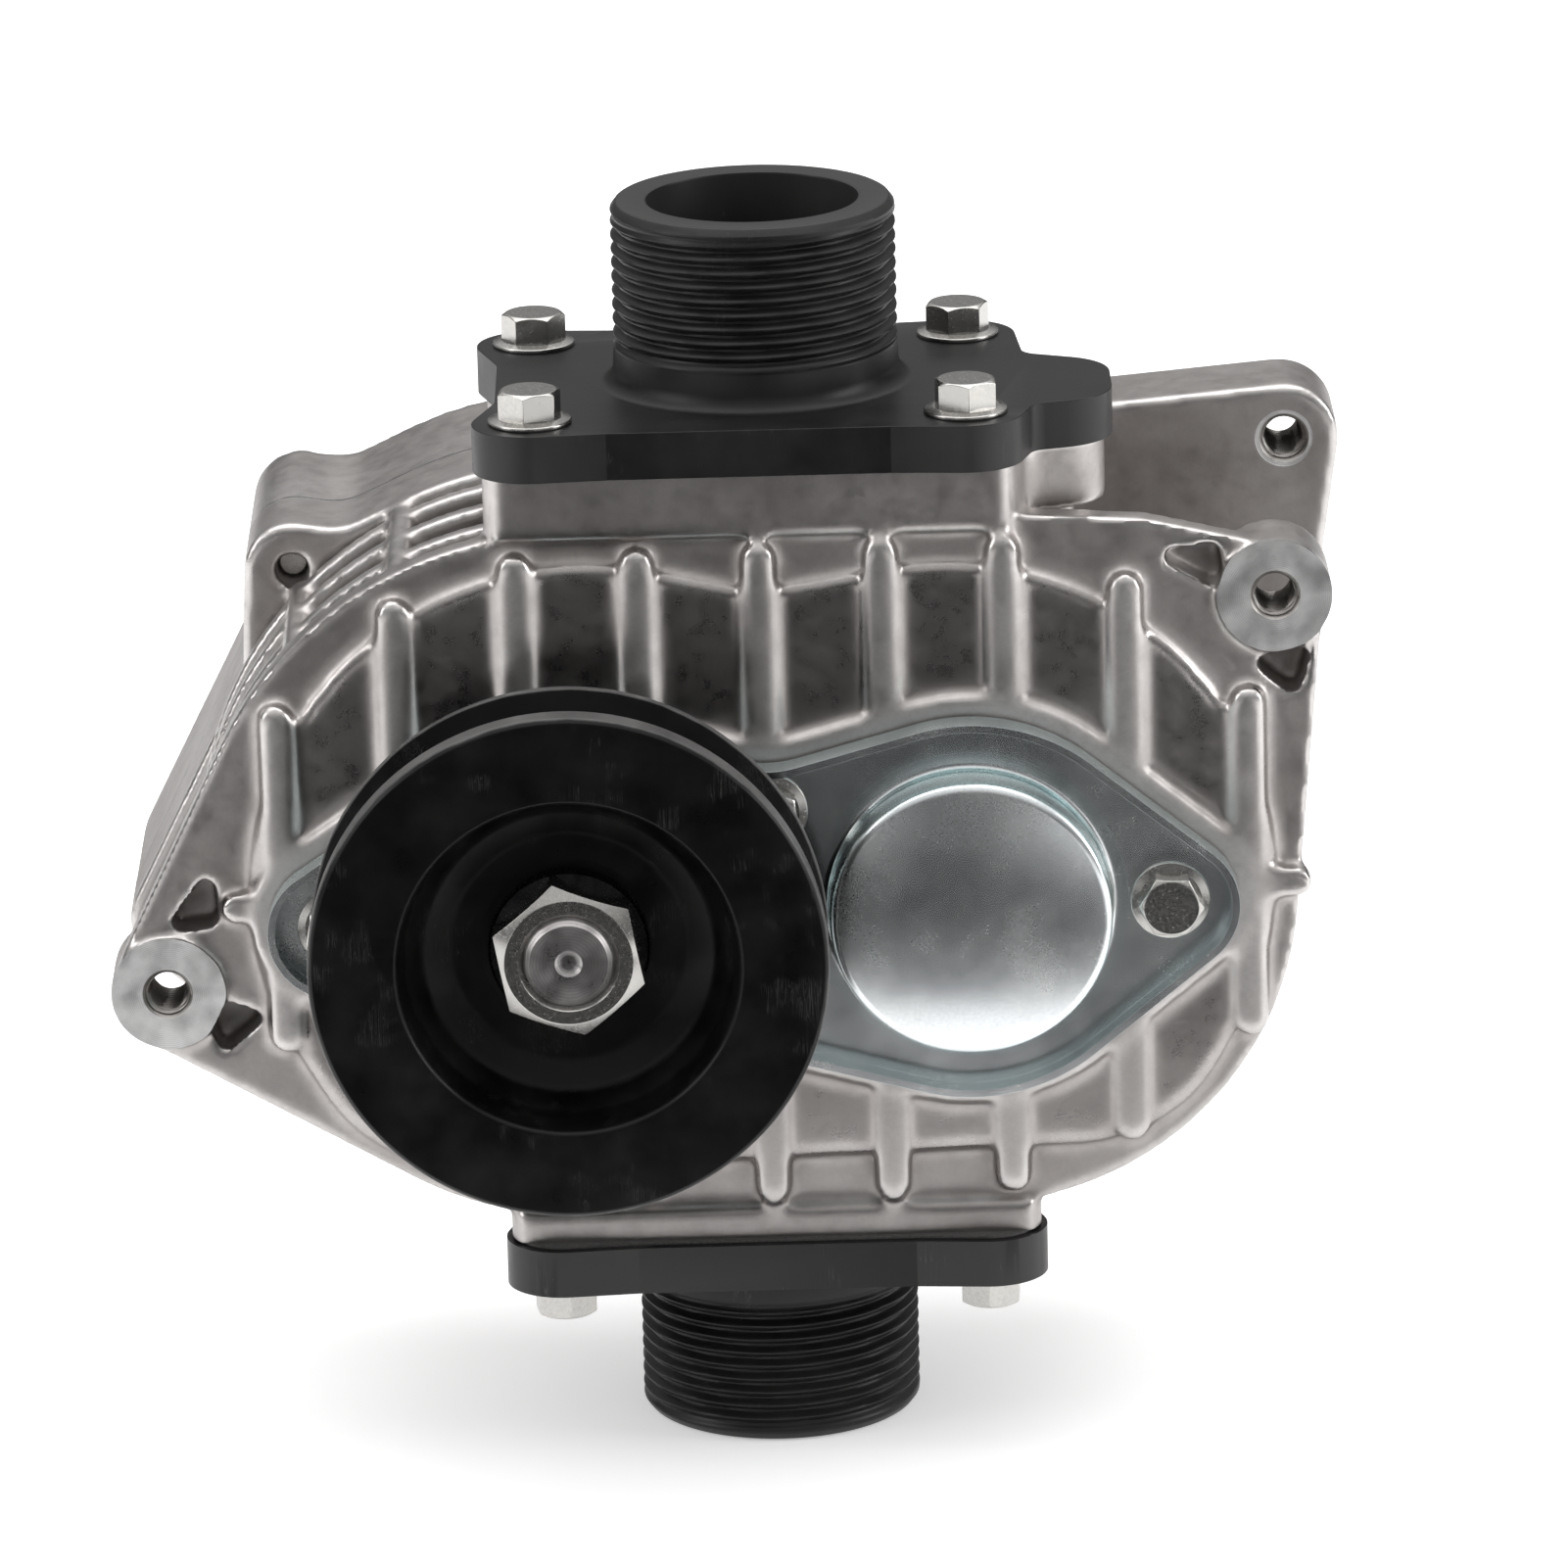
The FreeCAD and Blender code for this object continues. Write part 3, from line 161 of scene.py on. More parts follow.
def shade(piece, angle=32.0, even=True):
    """Smooth shading that keeps edges sharper than an angle, with flat faces left flat."""
    mesh = piece.data
    mesh.polygons.foreach_set("use_smooth", [True] * len(mesh.polygons))
    mesh.set_sharp_from_angle(angle=math.radians(angle))
    if even:
        weighted = piece.modifiers.new("even", "WEIGHTED_NORMAL")
        weighted.keep_sharp = True
        settle(piece)


def finish_piece(piece, body, material, nodes):
    """Give a finished piece its look, its body and the nodes that it stands for."""
    if material is not None:
        piece.data.materials.clear()
        piece.data.materials.append(material)
    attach(piece, body)
    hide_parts(*nodes)


def rounded(profile, radius, steps=4):
    """An open profile whose inner corners are rounded."""
    points = [profile[0]]
    for before, corner, after in zip(profile, profile[1:], profile[2:]):
        corner = Vector(corner)
        back = Vector(before) - corner
        ahead = Vector(after) - corner
        bend = back.angle(ahead)
        reach = min(radius / math.tan(bend / 2), back.length * 0.48, ahead.length * 0.48)
        start = corner + back.normalized() * reach
        end = corner + ahead.normalized() * reach
        for i in range(steps + 1):
            t = i / steps
            points.append(tuple(start * (1 - t) ** 2 + corner * 2 * t * (1 - t) + end * t**2))
    points.append(profile[-1])
    return points


def thread_wave(turn):
    """Depth of a rounded thread from crest, 0, to root, 1, over one turn."""
    height = abs(2 * (turn % 1.0) - 1)
    return min(max((height - 0.12) / 0.72, 0.0), 1.0)


def lathe(name, profile, segments=96, closed=True, thread=None):
    """Turn a profile of (radius, height) about Z. thread is (start, end, pitch, depth)."""
    verts = []
    rings = []
    for r, z in profile:
        if r <= 1e-7:
            rings.append([len(verts)] * segments)
            verts.append((0, 0, z))
            continue
        ring = []
        for i in range(segments):
            angle = 2 * math.pi * i / segments
            radius = r
            if thread is not None and thread[0] <= z <= thread[1]:
                start, end, pitch, depth = thread
                fade = min((z - start) / pitch, (end - z) / pitch, 1.0)
                radius -= depth * fade * thread_wave(z / pitch - i / segments)
            ring.append(len(verts))
            verts.append((radius * math.cos(angle), radius * math.sin(angle), z))
        rings.append(ring)
    pairs = list(zip(rings, rings[1:]))
    if closed:
        pairs.append((rings[-1], rings[0]))
    faces = []
    for low, high in pairs:
        for i in range(segments):
            j = (i + 1) % segments
            corners = [low[i], low[j], high[j], high[i]]
            corners = [c for k, c in enumerate(corners) if c not in corners[:k]]
            if len(corners) > 2:
                faces.append(corners)
    return solid(name, verts, faces)


def steps_between(start, end, size):
    count = max(1, math.ceil(abs(end - start) / size))
    return [start + (end - start) * i / count for i in range(count + 1)]


def threaded_rod(name, minor_r, major_r, length, pitch):
    """A cutter for a tapped hole: a rod along Z whose thread stands out, with a chamfered mouth."""
    chamfer = 0.45 * MM
    rows = [(0, -1.0 * MM), (major_r + chamfer + 1.0 * MM, -1.0 * MM), (major_r, chamfer)]
    rows += [(major_r, z) for z in steps_between(chamfer + 0.05 * MM, length, pitch / 6)]
    rows += [(minor_r * 0.99, length + 0.2 * MM), (0, length + 0.5 * MM)]
    return lathe(name, rows, 48, False, (chamfer, length, pitch, major_r - minor_r))


def cylinder(name, r, start, end, segments=128):
    return lathe(name, [(0, start), (r, start), (r, end), (0, end)], segments, False)


def box_piece(name, low, high):
    verts = [(x, y, z) for x in (low[0], high[0]) for y in (low[1], high[1]) for z in (low[2], high[2])]
    faces = [(0, 1, 3, 2), (4, 6, 7, 5), (0, 4, 5, 1), (2, 3, 7, 6), (0, 2, 6, 4), (1, 5, 7, 3)]
    return solid(name, verts, faces)


def loose_boxes(node):
    """The box of each separate solid in a node, as (low, high) pairs."""
    form = node_form(node)
    form.verts.ensure_lookup_table()
    seen = set()
    boxes = []
    for first in form.verts:
        if first.index in seen:
            continue
        stack = [first]
        seen.add(first.index)
        points = []
        while stack:
            vert = stack.pop()
            points.append(vert.co.copy())
            for edge in vert.link_edges:
                other = edge.other_vert(vert)
                if other.index not in seen:
                    seen.add(other.index)
                    stack.append(other)
        cloud = np.array(points)
        boxes.append((Vector(cloud.min(0)), Vector(cloud.max(0))))
    form.free()
    return boxes


# ---------------------------------------------------------------- materials


class Look:
    """A Principled material whose inputs come from chains of procedural nodes."""

    def __init__(self, name, metallic=0.0, roughness=0.5):
        self.material = bpy.data.materials.new(name)
        self.material.use_nodes = True
        self.tree = self.material.node_tree
        self.tree.nodes.clear()
        self.shader = self.tree.nodes.new("ShaderNodeBsdfPrincipled")
        output = self.tree.nodes.new("ShaderNodeOutputMaterial")
        self.tree.links.new(self.shader.outputs[0], output.inputs[0])
        self.where = self.tree.nodes.new("ShaderNodeTexCoord").outputs["Object"]
        self.set("Metallic", metallic)
        self.set("Roughness", roughness)

    def feed(self, socket, value):
        if isinstance(value, bpy.types.NodeSocket):
            self.tree.links.new(value, socket)
        else:
            socket.default_value = value

    def set(self, name, value):
        self.feed(self.shader.inputs[name], value)

    def add(self, kind, inputs, out=0, **settings):
        node = self.tree.nodes.new(kind)
        for key, value in settings.items():
            setattr(node, key, value)
        for key, value in inputs.items():
            self.feed(node.inputs[key], value)
        return node.outputs[out]

    def attribute(self, name):
        return self.add("ShaderNodeAttribute", {}, "Fac", attribute_name=name)

    def axes(self, vector=None):
        split = self.tree.nodes.new("ShaderNodeSeparateXYZ")
        self.feed(split.inputs[0], self.where if vector is None else vector)
        return split.outputs

    def stretched(self, factors, turn=0.0):
        """Object coordinates turned about Y and scaled by a factor on each axis."""
        inputs = {"Vector": self.where, "Rotation": (0, turn, 0), "Scale": factors}
        return self.add("ShaderNodeMapping", inputs)

    def noise(self, size, detail=3.0, vector=None, rough=0.55):
        """Noise from 0 to 1 whose largest lumps are about a size, in metres."""
        vector = self.where if vector is None else vector
        inputs = {"Vector": vector, "Scale": 1 / size, "Detail": detail, "Roughness": rough}
        return self.add("ShaderNodeTexNoise", inputs)

    def span(self, value, low, high, first=0.0, last=1.0):
        """Map a range to another, held at its ends."""
        inputs = {0: value, 1: low, 2: high, 3: first, 4: last}
        return self.add("ShaderNodeMapRange", inputs)

    def math(self, operation, a, b=0.0):
        return self.add("ShaderNodeMath", {0: a, 1: b}, operation=operation)

    def mix(self, factor, a, b):
        inputs = {0: factor, 6: a, 7: b}
        return self.add("ShaderNodeMix", inputs, 2, data_type="RGBA")

    def tone(self, value, dark, light):
        return self.mix(value, (*dark, 1), (*light, 1))

    def bump(self, height, distance, strength=1.0, normal=None):
        inputs = {"Height": height, "Distance": distance, "Strength": strength}
        if normal is not None:
            inputs["Normal"] = normal
        return self.add("ShaderNodeBump", inputs)

    def scratches(self, width, length, turn, amount):
        """Straight thin marks in the XZ plane: 1 on a mark and 0 elsewhere."""
        lines = self.noise(1.0, 1.0, self.stretched((1 / width, 1 / width, 1 / length), turn), 0.4)
        band = self.math("ABSOLUTE", self.math("SUBTRACT", lines, 0.5))
        thin = self.span(band, 0.0, 0.012, 1.0, 0.0)
        where = self.span(self.noise(9 * MM, 2.0), 0.62 - amount, 0.7 - amount)
        return self.math("MULTIPLY", thin, where)

    def radius(self, centre, axes):
        """Distance from an axis through a centre, across two named axes."""
        parts = self.axes()
        squares = []
        for axis in axes:
            index = "XYZ".index(axis)
            away = self.math("SUBTRACT", parts[index], centre[index])
            squares.append(self.math("POWER", away, 2.0))
        return self.math("SQRT", self.math("ADD", *squares))

    def rings(self, centre, axes, pitch):
        """Fine turning marks about an axis."""
        far = self.radius(centre, axes)
        wobble = self.math("MULTIPLY", self.noise(3 * MM, 2.0), pitch * 1.2)
        turns = self.math("DIVIDE", self.math("ADD", far, wobble), pitch)
        return self.math("SINE", self.math("MULTIPLY", turns, 2 * math.pi))


def cast_aluminium(plateau=None):
    """Die-cast aluminium: satin and grainy, with a painted highlight on its edges, and darkened in its
    hollows by grime and painted shade.

    plateau is (front, back, centre, radius): the front wall between those levels is smoother and
    darker with stain and painted shade, the more so near the middle of its upper edge; the rib fronts
    ahead of it get a painted highlight, and the wall gets painted shade towards the bottom."""
    look = Look("cast_front" if plateau else "cast_aluminium", 1.0)
    cavity = look.attribute("cavity")
    crest = look.attribute("crest")
    clouds = look.noise(24 * MM, 5.0)
    grain = look.noise(0.5 * MM, 2.0)
    blotch = look.noise(4 * MM, 4.0, rough=0.65)
    speck = look.noise(1.1 * MM, 3.0, rough=0.7)
    base = look.tone(look.span(clouds, 0.35, 0.65), (0.38, 0.355, 0.345), (0.49, 0.465, 0.455))
    base = look.mix(look.span(blotch, 0.5, 0.72, 0.0, 0.3), base, (0.35, 0.33, 0.315, 1))
    rough = look.math("ADD", look.span(blotch, 0.3, 0.7, 0.34, 0.46), look.span(cavity, 0.1, 0.7, 0.0, 0.14))
    if plateau is not None:
        front, back, centre, radius = plateau
        depth = look.axes()[1]
        rise = look.span(depth, front, front + 0.5 * MM)
        floor = look.math("MULTIPLY", rise, look.span(depth, back, back + 1.4 * MM, 1.0, 0.0))
        height = look.axes()[2]
        floor = look.math("MULTIPLY", floor, look.span(height, 64 * MM, 66 * MM, 1.0, 0.0))
        floor = look.math("MULTIPLY", floor, look.span(height, -56 * MM, -54 * MM))
        # Stain and painted shade: the plateau floor is darkened with cloudy stain, with painted shade strongest
        # near the middle of its upper edge.
        near = look.span(look.radius(centre, "XZ"), radius * 0.25, radius, 1.0, 0.0)
        stain_and_shade = look.math("ADD", look.span(clouds, 0.3, 0.7, 0.1, 0.5), look.math("MULTIPLY", near, 0.55))
        stain_and_shade = look.math("MULTIPLY", floor, look.math("MINIMUM", stain_and_shade, 1.0))
        base = look.mix(look.math("MULTIPLY", stain_and_shade, 0.45), base, (0.14, 0.13, 0.125, 1))
        rough = look.math("SUBTRACT", rough, look.math("MULTIPLY", floor, 0.10))
        # Painted highlight: the rounded rib fronts are mixed towards a pale grey.
        ribs = look.span(depth, front - 1.6 * MM, front - 0.1 * MM, 1.0, 0.0)
        base = look.mix(look.math("MULTIPLY", ribs, 0.5), base, (0.80, 0.785, 0.77, 1))
        rough = look.math("ADD", rough, look.math("MULTIPLY", ribs, 0.12))
        # Painted shade: the front wall is darker towards the bottom.
        low_down = look.span(height, -65 * MM, 5 * MM, 0.42, 0.0)
        base = look.mix(low_down, base, (0.20, 0.185, 0.18, 1))
    # Painted highlight: ridges and edges, found by the crest attribute, mixed towards a pale grey.
    base = look.mix(look.span(crest, 0.1, 1.0, 0.0, 0.38), base, (0.80, 0.785, 0.77, 1))
    # Grime and painted shade: hollows, found by the cavity attribute, darkened in blotches.
    hollow_grime_and_shade = look.math("MULTIPLY", look.span(cavity, 0.3, 1.0), look.span(blotch, 0.35, 0.65, 0.15, 1.0))
    base = look.mix(look.math("MULTIPLY", hollow_grime_and_shade, 0.3), base, (0.15, 0.13, 0.115, 1))
    base = look.mix(look.span(speck, 0.4, 0.8, 0.0, 0.2), base, (0.22, 0.21, 0.20, 1))
    look.set("Base Color", base)
    look.set("Roughness", look.math("SUBTRACT", rough, look.span(crest, 0.1, 0.7, 0.0, 0.08)))
    fine = look.bump(grain, 0.03 * MM, 0.4)
    look.set("Normal", look.bump(look.noise(5 * MM, 1.0), 0.08 * MM, 0.4, fine))
    return look.material


def machined_metal(
    name, centre, axes, colour=(0.82, 0.815, 0.81), pitch=0.35 * MM, roughness=0.4, drilled=False
):
    """Faced or turned metal with fine rings about an axis, and, if drilled, a centre drilling painted near black
    as painted shade.
    """
    look = Look(name, 1.0)
    rings = look.rings(centre, axes, pitch)
    clouds = look.noise(5 * MM, 4.0)
    dark = tuple(c * 0.72 for c in colour)
    base = look.tone(look.span(clouds, 0.3, 0.65), dark, colour)
    base = look.mix(look.span(rings, -1.0, 0.2, 0.35, 0.0), base, (*(c * 0.5 for c in colour), 1))
    if drilled:
        # Painted shade: the centre drilling is painted near black and made non-metallic.
        hollow = look.span(look.radius(centre, axes), 1.2 * MM, 2.2 * MM, 0.92, 0.0)
        base = look.mix(hollow, base, (0.02, 0.019, 0.018, 1))
        look.set("Metallic", look.math("SUBTRACT", 1.0, hollow))
    look.set("Base Color", base)
    look.set("Roughness", look.span(clouds, 0.3, 0.7, roughness - 0.05, roughness + 0.1))
    look.set("Normal", look.bump(rings, 0.006 * MM, 0.6, look.bump(clouds, 0.02 * MM, 0.5)))
    return look.material


def zinc_sheet():
    """Bright zinc plate: bluish, faintly speckled, with a green tint where the sheet bends."""
    look = Look("zinc_plate", 1.0)
    speckle = look.noise(0.5 * MM, 3.0, rough=0.6)
    clouds = look.noise(15 * MM, 3.0)
    streaks = look.noise(1.0, 2.0, look.stretched((150, 400, 1600), 0.5))
    bend = look.attribute("bend")
    base = look.tone(look.span(clouds, 0.3, 0.7), (0.78, 0.81, 0.83), (0.90, 0.92, 0.92))
    base = look.mix(look.span(speckle, 0.40, 0.72, 0.0, 0.22), base, (0.42, 0.45, 0.50, 1))
    base = look.mix(look.math("MULTIPLY", bend, 0.5), base, (0.46, 0.63, 0.62, 1))
    look.set("Base Color", base)
    rough = look.math("ADD", look.span(clouds, 0.3, 0.7, 0.20, 0.27), look.span(speckle, 0.3, 0.7, 0.0, 0.03))
    look.set("Roughness", rough)
    look.set("Normal", look.bump(streaks, 0.004 * MM, 0.3, look.bump(clouds, 0.05 * MM, 0.3)))
    return look.material


def zinc_fastener():
    look = Look("zinc_fasteners", 1.0)
    speckle = look.noise(0.6 * MM, 3.0, rough=0.65)
    clouds = look.noise(5 * MM, 3.0)
    base = look.tone(look.span(speckle, 0.3, 0.68), (0.40, 0.39, 0.375), (0.50, 0.49, 0.47))
    base = look.mix(look.span(clouds, 0.5, 0.72, 0.0, 0.4), base, (0.54, 0.52, 0.47, 1))
    look.set("Base Color", base)
    look.set("Roughness", look.span(speckle, 0.3, 0.7, 0.20, 0.28))
    look.set("Normal", look.bump(clouds, 0.05 * MM, 0.3))
    return look.material


def black_plastic():
    look = Look("black_plastic")
    grain = look.noise(0.45 * MM, 3.0, rough=0.6)
    clouds = look.noise(14 * MM, 5.0)
    scuff = look.scratches(0.7 * MM, 14 * MM, 0.9, 0.02)
    crest = look.attribute("crest")
    base = look.tone(look.span(clouds, 0.35, 0.7), (0.0035, 0.0035, 0.0038), (0.010, 0.0095, 0.0095))
    # Painted highlight: ridges and edges, found by the crest attribute, lightened towards grey.
    base = look.mix(look.math("MULTIPLY", crest, 0.5), base, (0.045, 0.044, 0.043, 1))
    base = look.mix(look.math("MULTIPLY", scuff, 0.35), base, (0.10, 0.10, 0.10, 1))
    look.set("Base Color", base)
    look.set("Roughness", look.span(clouds, 0.3, 0.7, 0.34, 0.47))
    look.set("Specular IOR Level", 0.3)
    fine = look.bump(grain, 0.03 * MM, 0.45)
    look.set("Normal", look.bump(clouds, 0.12 * MM, 0.3, fine))
    return look.material


def black_paint(rim_r):
    """Semi-gloss paint on the pulley, scratched on its face and worn to grey at the rim, a band that also paints
    the rim's highlight.
    """
    look = Look("black_paint")
    far = look.radius((0, 0, 0), "XZ")
    orange = look.noise(1.1 * MM, 3.0)
    clouds = look.noise(11 * MM, 5.0)
    marks = look.math(
        "MAXIMUM",
        look.scratches(0.5 * MM, 11 * MM, 0.35, 0.06),
        look.math(
            "MAXIMUM",
            look.scratches(0.4 * MM, 8 * MM, 1.35, 0.03),
            look.scratches(0.5 * MM, 16 * MM, 2.3, 0.03),
        ),
    )
    # Wear and painted highlight: a grey, partly metallic band at the rim's edge.
    rim_band_edge = look.math("ADD", far, look.math("MULTIPLY", look.math("SUBTRACT", clouds, 0.5), 0.9 * MM))
    rim_wear_and_highlight = look.span(rim_band_edge, rim_r - 0.4 * MM, rim_r - 0.05 * MM, 0.0, 0.3)
    base = look.tone(look.span(clouds, 0.35, 0.7), (0.002, 0.002, 0.0022), (0.006, 0.0057, 0.0055))
    base = look.mix(look.math("MULTIPLY", marks, 0.3), base, (0.07, 0.068, 0.066, 1))
    base = look.mix(rim_wear_and_highlight, base, (0.33, 0.325, 0.32, 1))
    look.set("Base Color", base)
    look.set("Metallic", look.math("MULTIPLY", rim_wear_and_highlight, 0.75))
    look.set("Specular IOR Level", 0.16)
    rough = look.span(clouds, 0.3, 0.7, 0.26, 0.40)
    look.set("Roughness", look.math("ADD", rough, look.math("MULTIPLY", marks, 0.12)))
    fine = look.bump(orange, 0.02 * MM, 0.4)
    look.set("Normal", look.bump(marks, -0.02 * MM, 0.7, fine))
    return look.material


def plain_steel(name, dark, light, roughness, metallic=1.0):
    look = Look(name, metallic)
    clouds = look.noise(3 * MM, 4.0)
    fine = look.noise(0.4 * MM, 2.0)
    look.set("Base Color", look.tone(look.span(clouds, 0.3, 0.7), dark, light))
    look.set("Roughness", look.span(fine, 0.3, 0.7, roughness - 0.05, roughness + 0.07))
    look.set("Normal", look.bump(fine, 0.008 * MM, 0.6))
    return look.material


def soft_sheet(name, dark, light, roughness, size):
    """Rubber or fibre sheet: no metal, with a fine surface grain."""
    look = Look(name)
    fibre = look.noise(size, 4.0, rough=0.7)
    clouds = look.noise(8 * MM, 3.0)
    look.set("Base Color", look.tone(look.span(fibre, 0.3, 0.7), dark, light))
    look.set("Roughness", look.span(clouds, 0.3, 0.7, roughness - 0.08, roughness + 0.05))
    look.set("Normal", look.bump(fibre, 0.04 * MM, 0.6))
    return look.material


# ---------------------------------------------------------------- cast shells


def grow_faces(form, axis, level, distance):
    """Push out every face that lies flat at a level, so that it can be machined back later."""
    index = "XYZ".index(axis)
    flat = []
    for face in form.faces:
        if abs(face.normal[index]) < 0.999:
            continue
        if face.normal[index] * distance < 0:
            continue
        if all(abs(v.co[index] - level) < 2e-6 for v in face.verts):
            flat.append(face)
    grown = bmesh.ops.extrude_face_region(form, geom=flat)
    moved = [item for item in grown["geom"] if isinstance(item, bmesh.types.BMVert)]
    shift = Vector((0, 0, 0))
    shift[index] = distance
    bmesh.ops.translate(form, verts=moved, vec=shift)
    bmesh.ops.delete(form, geom=flat, context="FACES")


def round_ribs(form, levels):
    """Sink the flat front of every rib at the levels and return the rounded rods that replace it."""
    rods = []
    for level in levels:
        flat = {
            f
            for f in form.faces
            if abs(f.normal.y) > 0.99 and all(abs(v.co.y - level) < 2e-6 for v in f.verts)
        }
        while flat:
            stack = [flat.pop()]
            island = set(stack)
            while stack:
                face = stack.pop()
                near = {f for e in face.edges for f in e.link_faces if f in flat}
                flat -= near
                island |= near
                stack += near
            verts = {v for face in island for v in face.verts}
            low = Vector((min(v.co[k] for v in verts) for k in range(3)))
            high = Vector((max(v.co[k] for v in verts) for k in range(3)))
            size = high - low
            if max(size) > 140 * MM or min(size.x, size.z) > 8 * MM:
                continue
            for v in verts:
                v.co.y += 1.2 * MM
            half = min(size.x, size.z) / 2
            middle = (low + high) / 2
            reach = max(size.x, size.z) / 2 - half
            arc = [(half * math.sin(a), -half * math.cos(a)) for a in (math.pi / 16 * i for i in range(9))]
            profile = [(r, z - reach) for r, z in arc] + [(r, reach - z) for r, z in reversed(arc)]
            rod = lathe("rod", profile, 24, False)
            if size.x > size.z:
                rod.data.transform(Matrix.Rotation(math.pi / 2, 4, "Y"))
            rod.data.transform(Matrix.Translation((middle.x, level - 0.7 * MM + half, middle.z)))
            rods.append(rod)
    return rods


def cast_skin(piece, voxel, rounds):
    """Rebuild a piece as one even skin and melt its edges, as a casting's are."""
    remesh = piece.modifiers.new("skin", "REMESH")
    remesh.mode = "VOXEL"
    remesh.voxel_size = voxel
    settle(piece)
    soften(piece, rounds)


def soften(piece, rounds, weights=None):
    """Relax a skin, everywhere or by a weight for each point."""
    melt = piece.modifiers.new("melt", "SMOOTH")
    melt.factor = 0.5
    melt.iterations = rounds
    if weights is not None:
        group = piece.vertex_groups.new(name="melt")
        for index in np.flatnonzero(weights > 0.02):
            group.add([int(index)], float(weights[index]), "REPLACE")
        melt.vertex_group = "melt"
    settle(piece)


def set_slot(piece, materials, index):
    """Give a cutter the casting's slots, so that the faces it leaves take one of them."""
    for material in materials:
        piece.data.materials.append(material)
    piece.data.polygons.foreach_set("material_index", [index] * len(piece.data.polygons))


def neighbour_mean(values, edges, counts):
    total = np.zeros_like(values)
    np.add.at(total, edges[:, 0], values[edges[:, 1]])
    np.add.at(total, edges[:, 1], values[edges[:, 0]])
    return total / counts[:, None]


def mark_relief(piece, rounds, depth):
    """Store how far each point lies in a hollow, as cavity, or on a ridge, as crest."""
    mesh = piece.data
    count = len(mesh.vertices)
    points = np.empty(count * 3, np.float64)
    mesh.vertices.foreach_get("co", points)
    points = points.reshape(-1, 3)
    normals = np.empty(count * 3, np.float32)
    mesh.vertices.foreach_get("normal", normals)
    normals = normals.reshape(-1, 3)
    edges = np.empty(len(mesh.edges) * 2, np.int32)
    mesh.edges.foreach_get("vertices", edges)
    edges = edges.reshape(-1, 2)
    counts = np.maximum(np.bincount(edges.ravel(), minlength=count), 1).astype(float)
    smooth = points.copy()
    for _ in range(rounds):
        smooth = neighbour_mean(smooth, edges, counts)
    rise = ((points - smooth) * normals).sum(1) / depth
    for name, values in (("cavity", np.clip(-rise, 0, 1)), ("crest", np.clip(rise, 0, 1))):
        layer = mesh.attributes.new(name, "FLOAT", "POINT")
        layer.data.foreach_set("value", values.astype(np.float32))


GAP = [j for j in frame["joints"] if j["name"] == "driven_spin"][0]["pos_m"][0]
CHAMBER_R = 52.65 * MM
PORT_BORE_R = 18.5 * MM
VISUAL_GAP = 0.2 * MM
BOSS_FACING_R = 12.5 * MM
EAR_FACING_R = 5.2 * MM
EAR_FACING_DEPTH = 0.35 * MM
TAPPED_PITCH = 1.25 * MM
PLATE_RECESS_R = 55.5 * MM
BEARING_SEAT_R = 20 * MM
MACHINING_STOCK = 3 * MM
CLEAR = 0.4
TOP_FACE_END = 0.105


def cut_with(piece, materials, index, cutter):
    set_slot(cutter, materials, index)
    combine(piece, cutter, "DIFFERENCE")


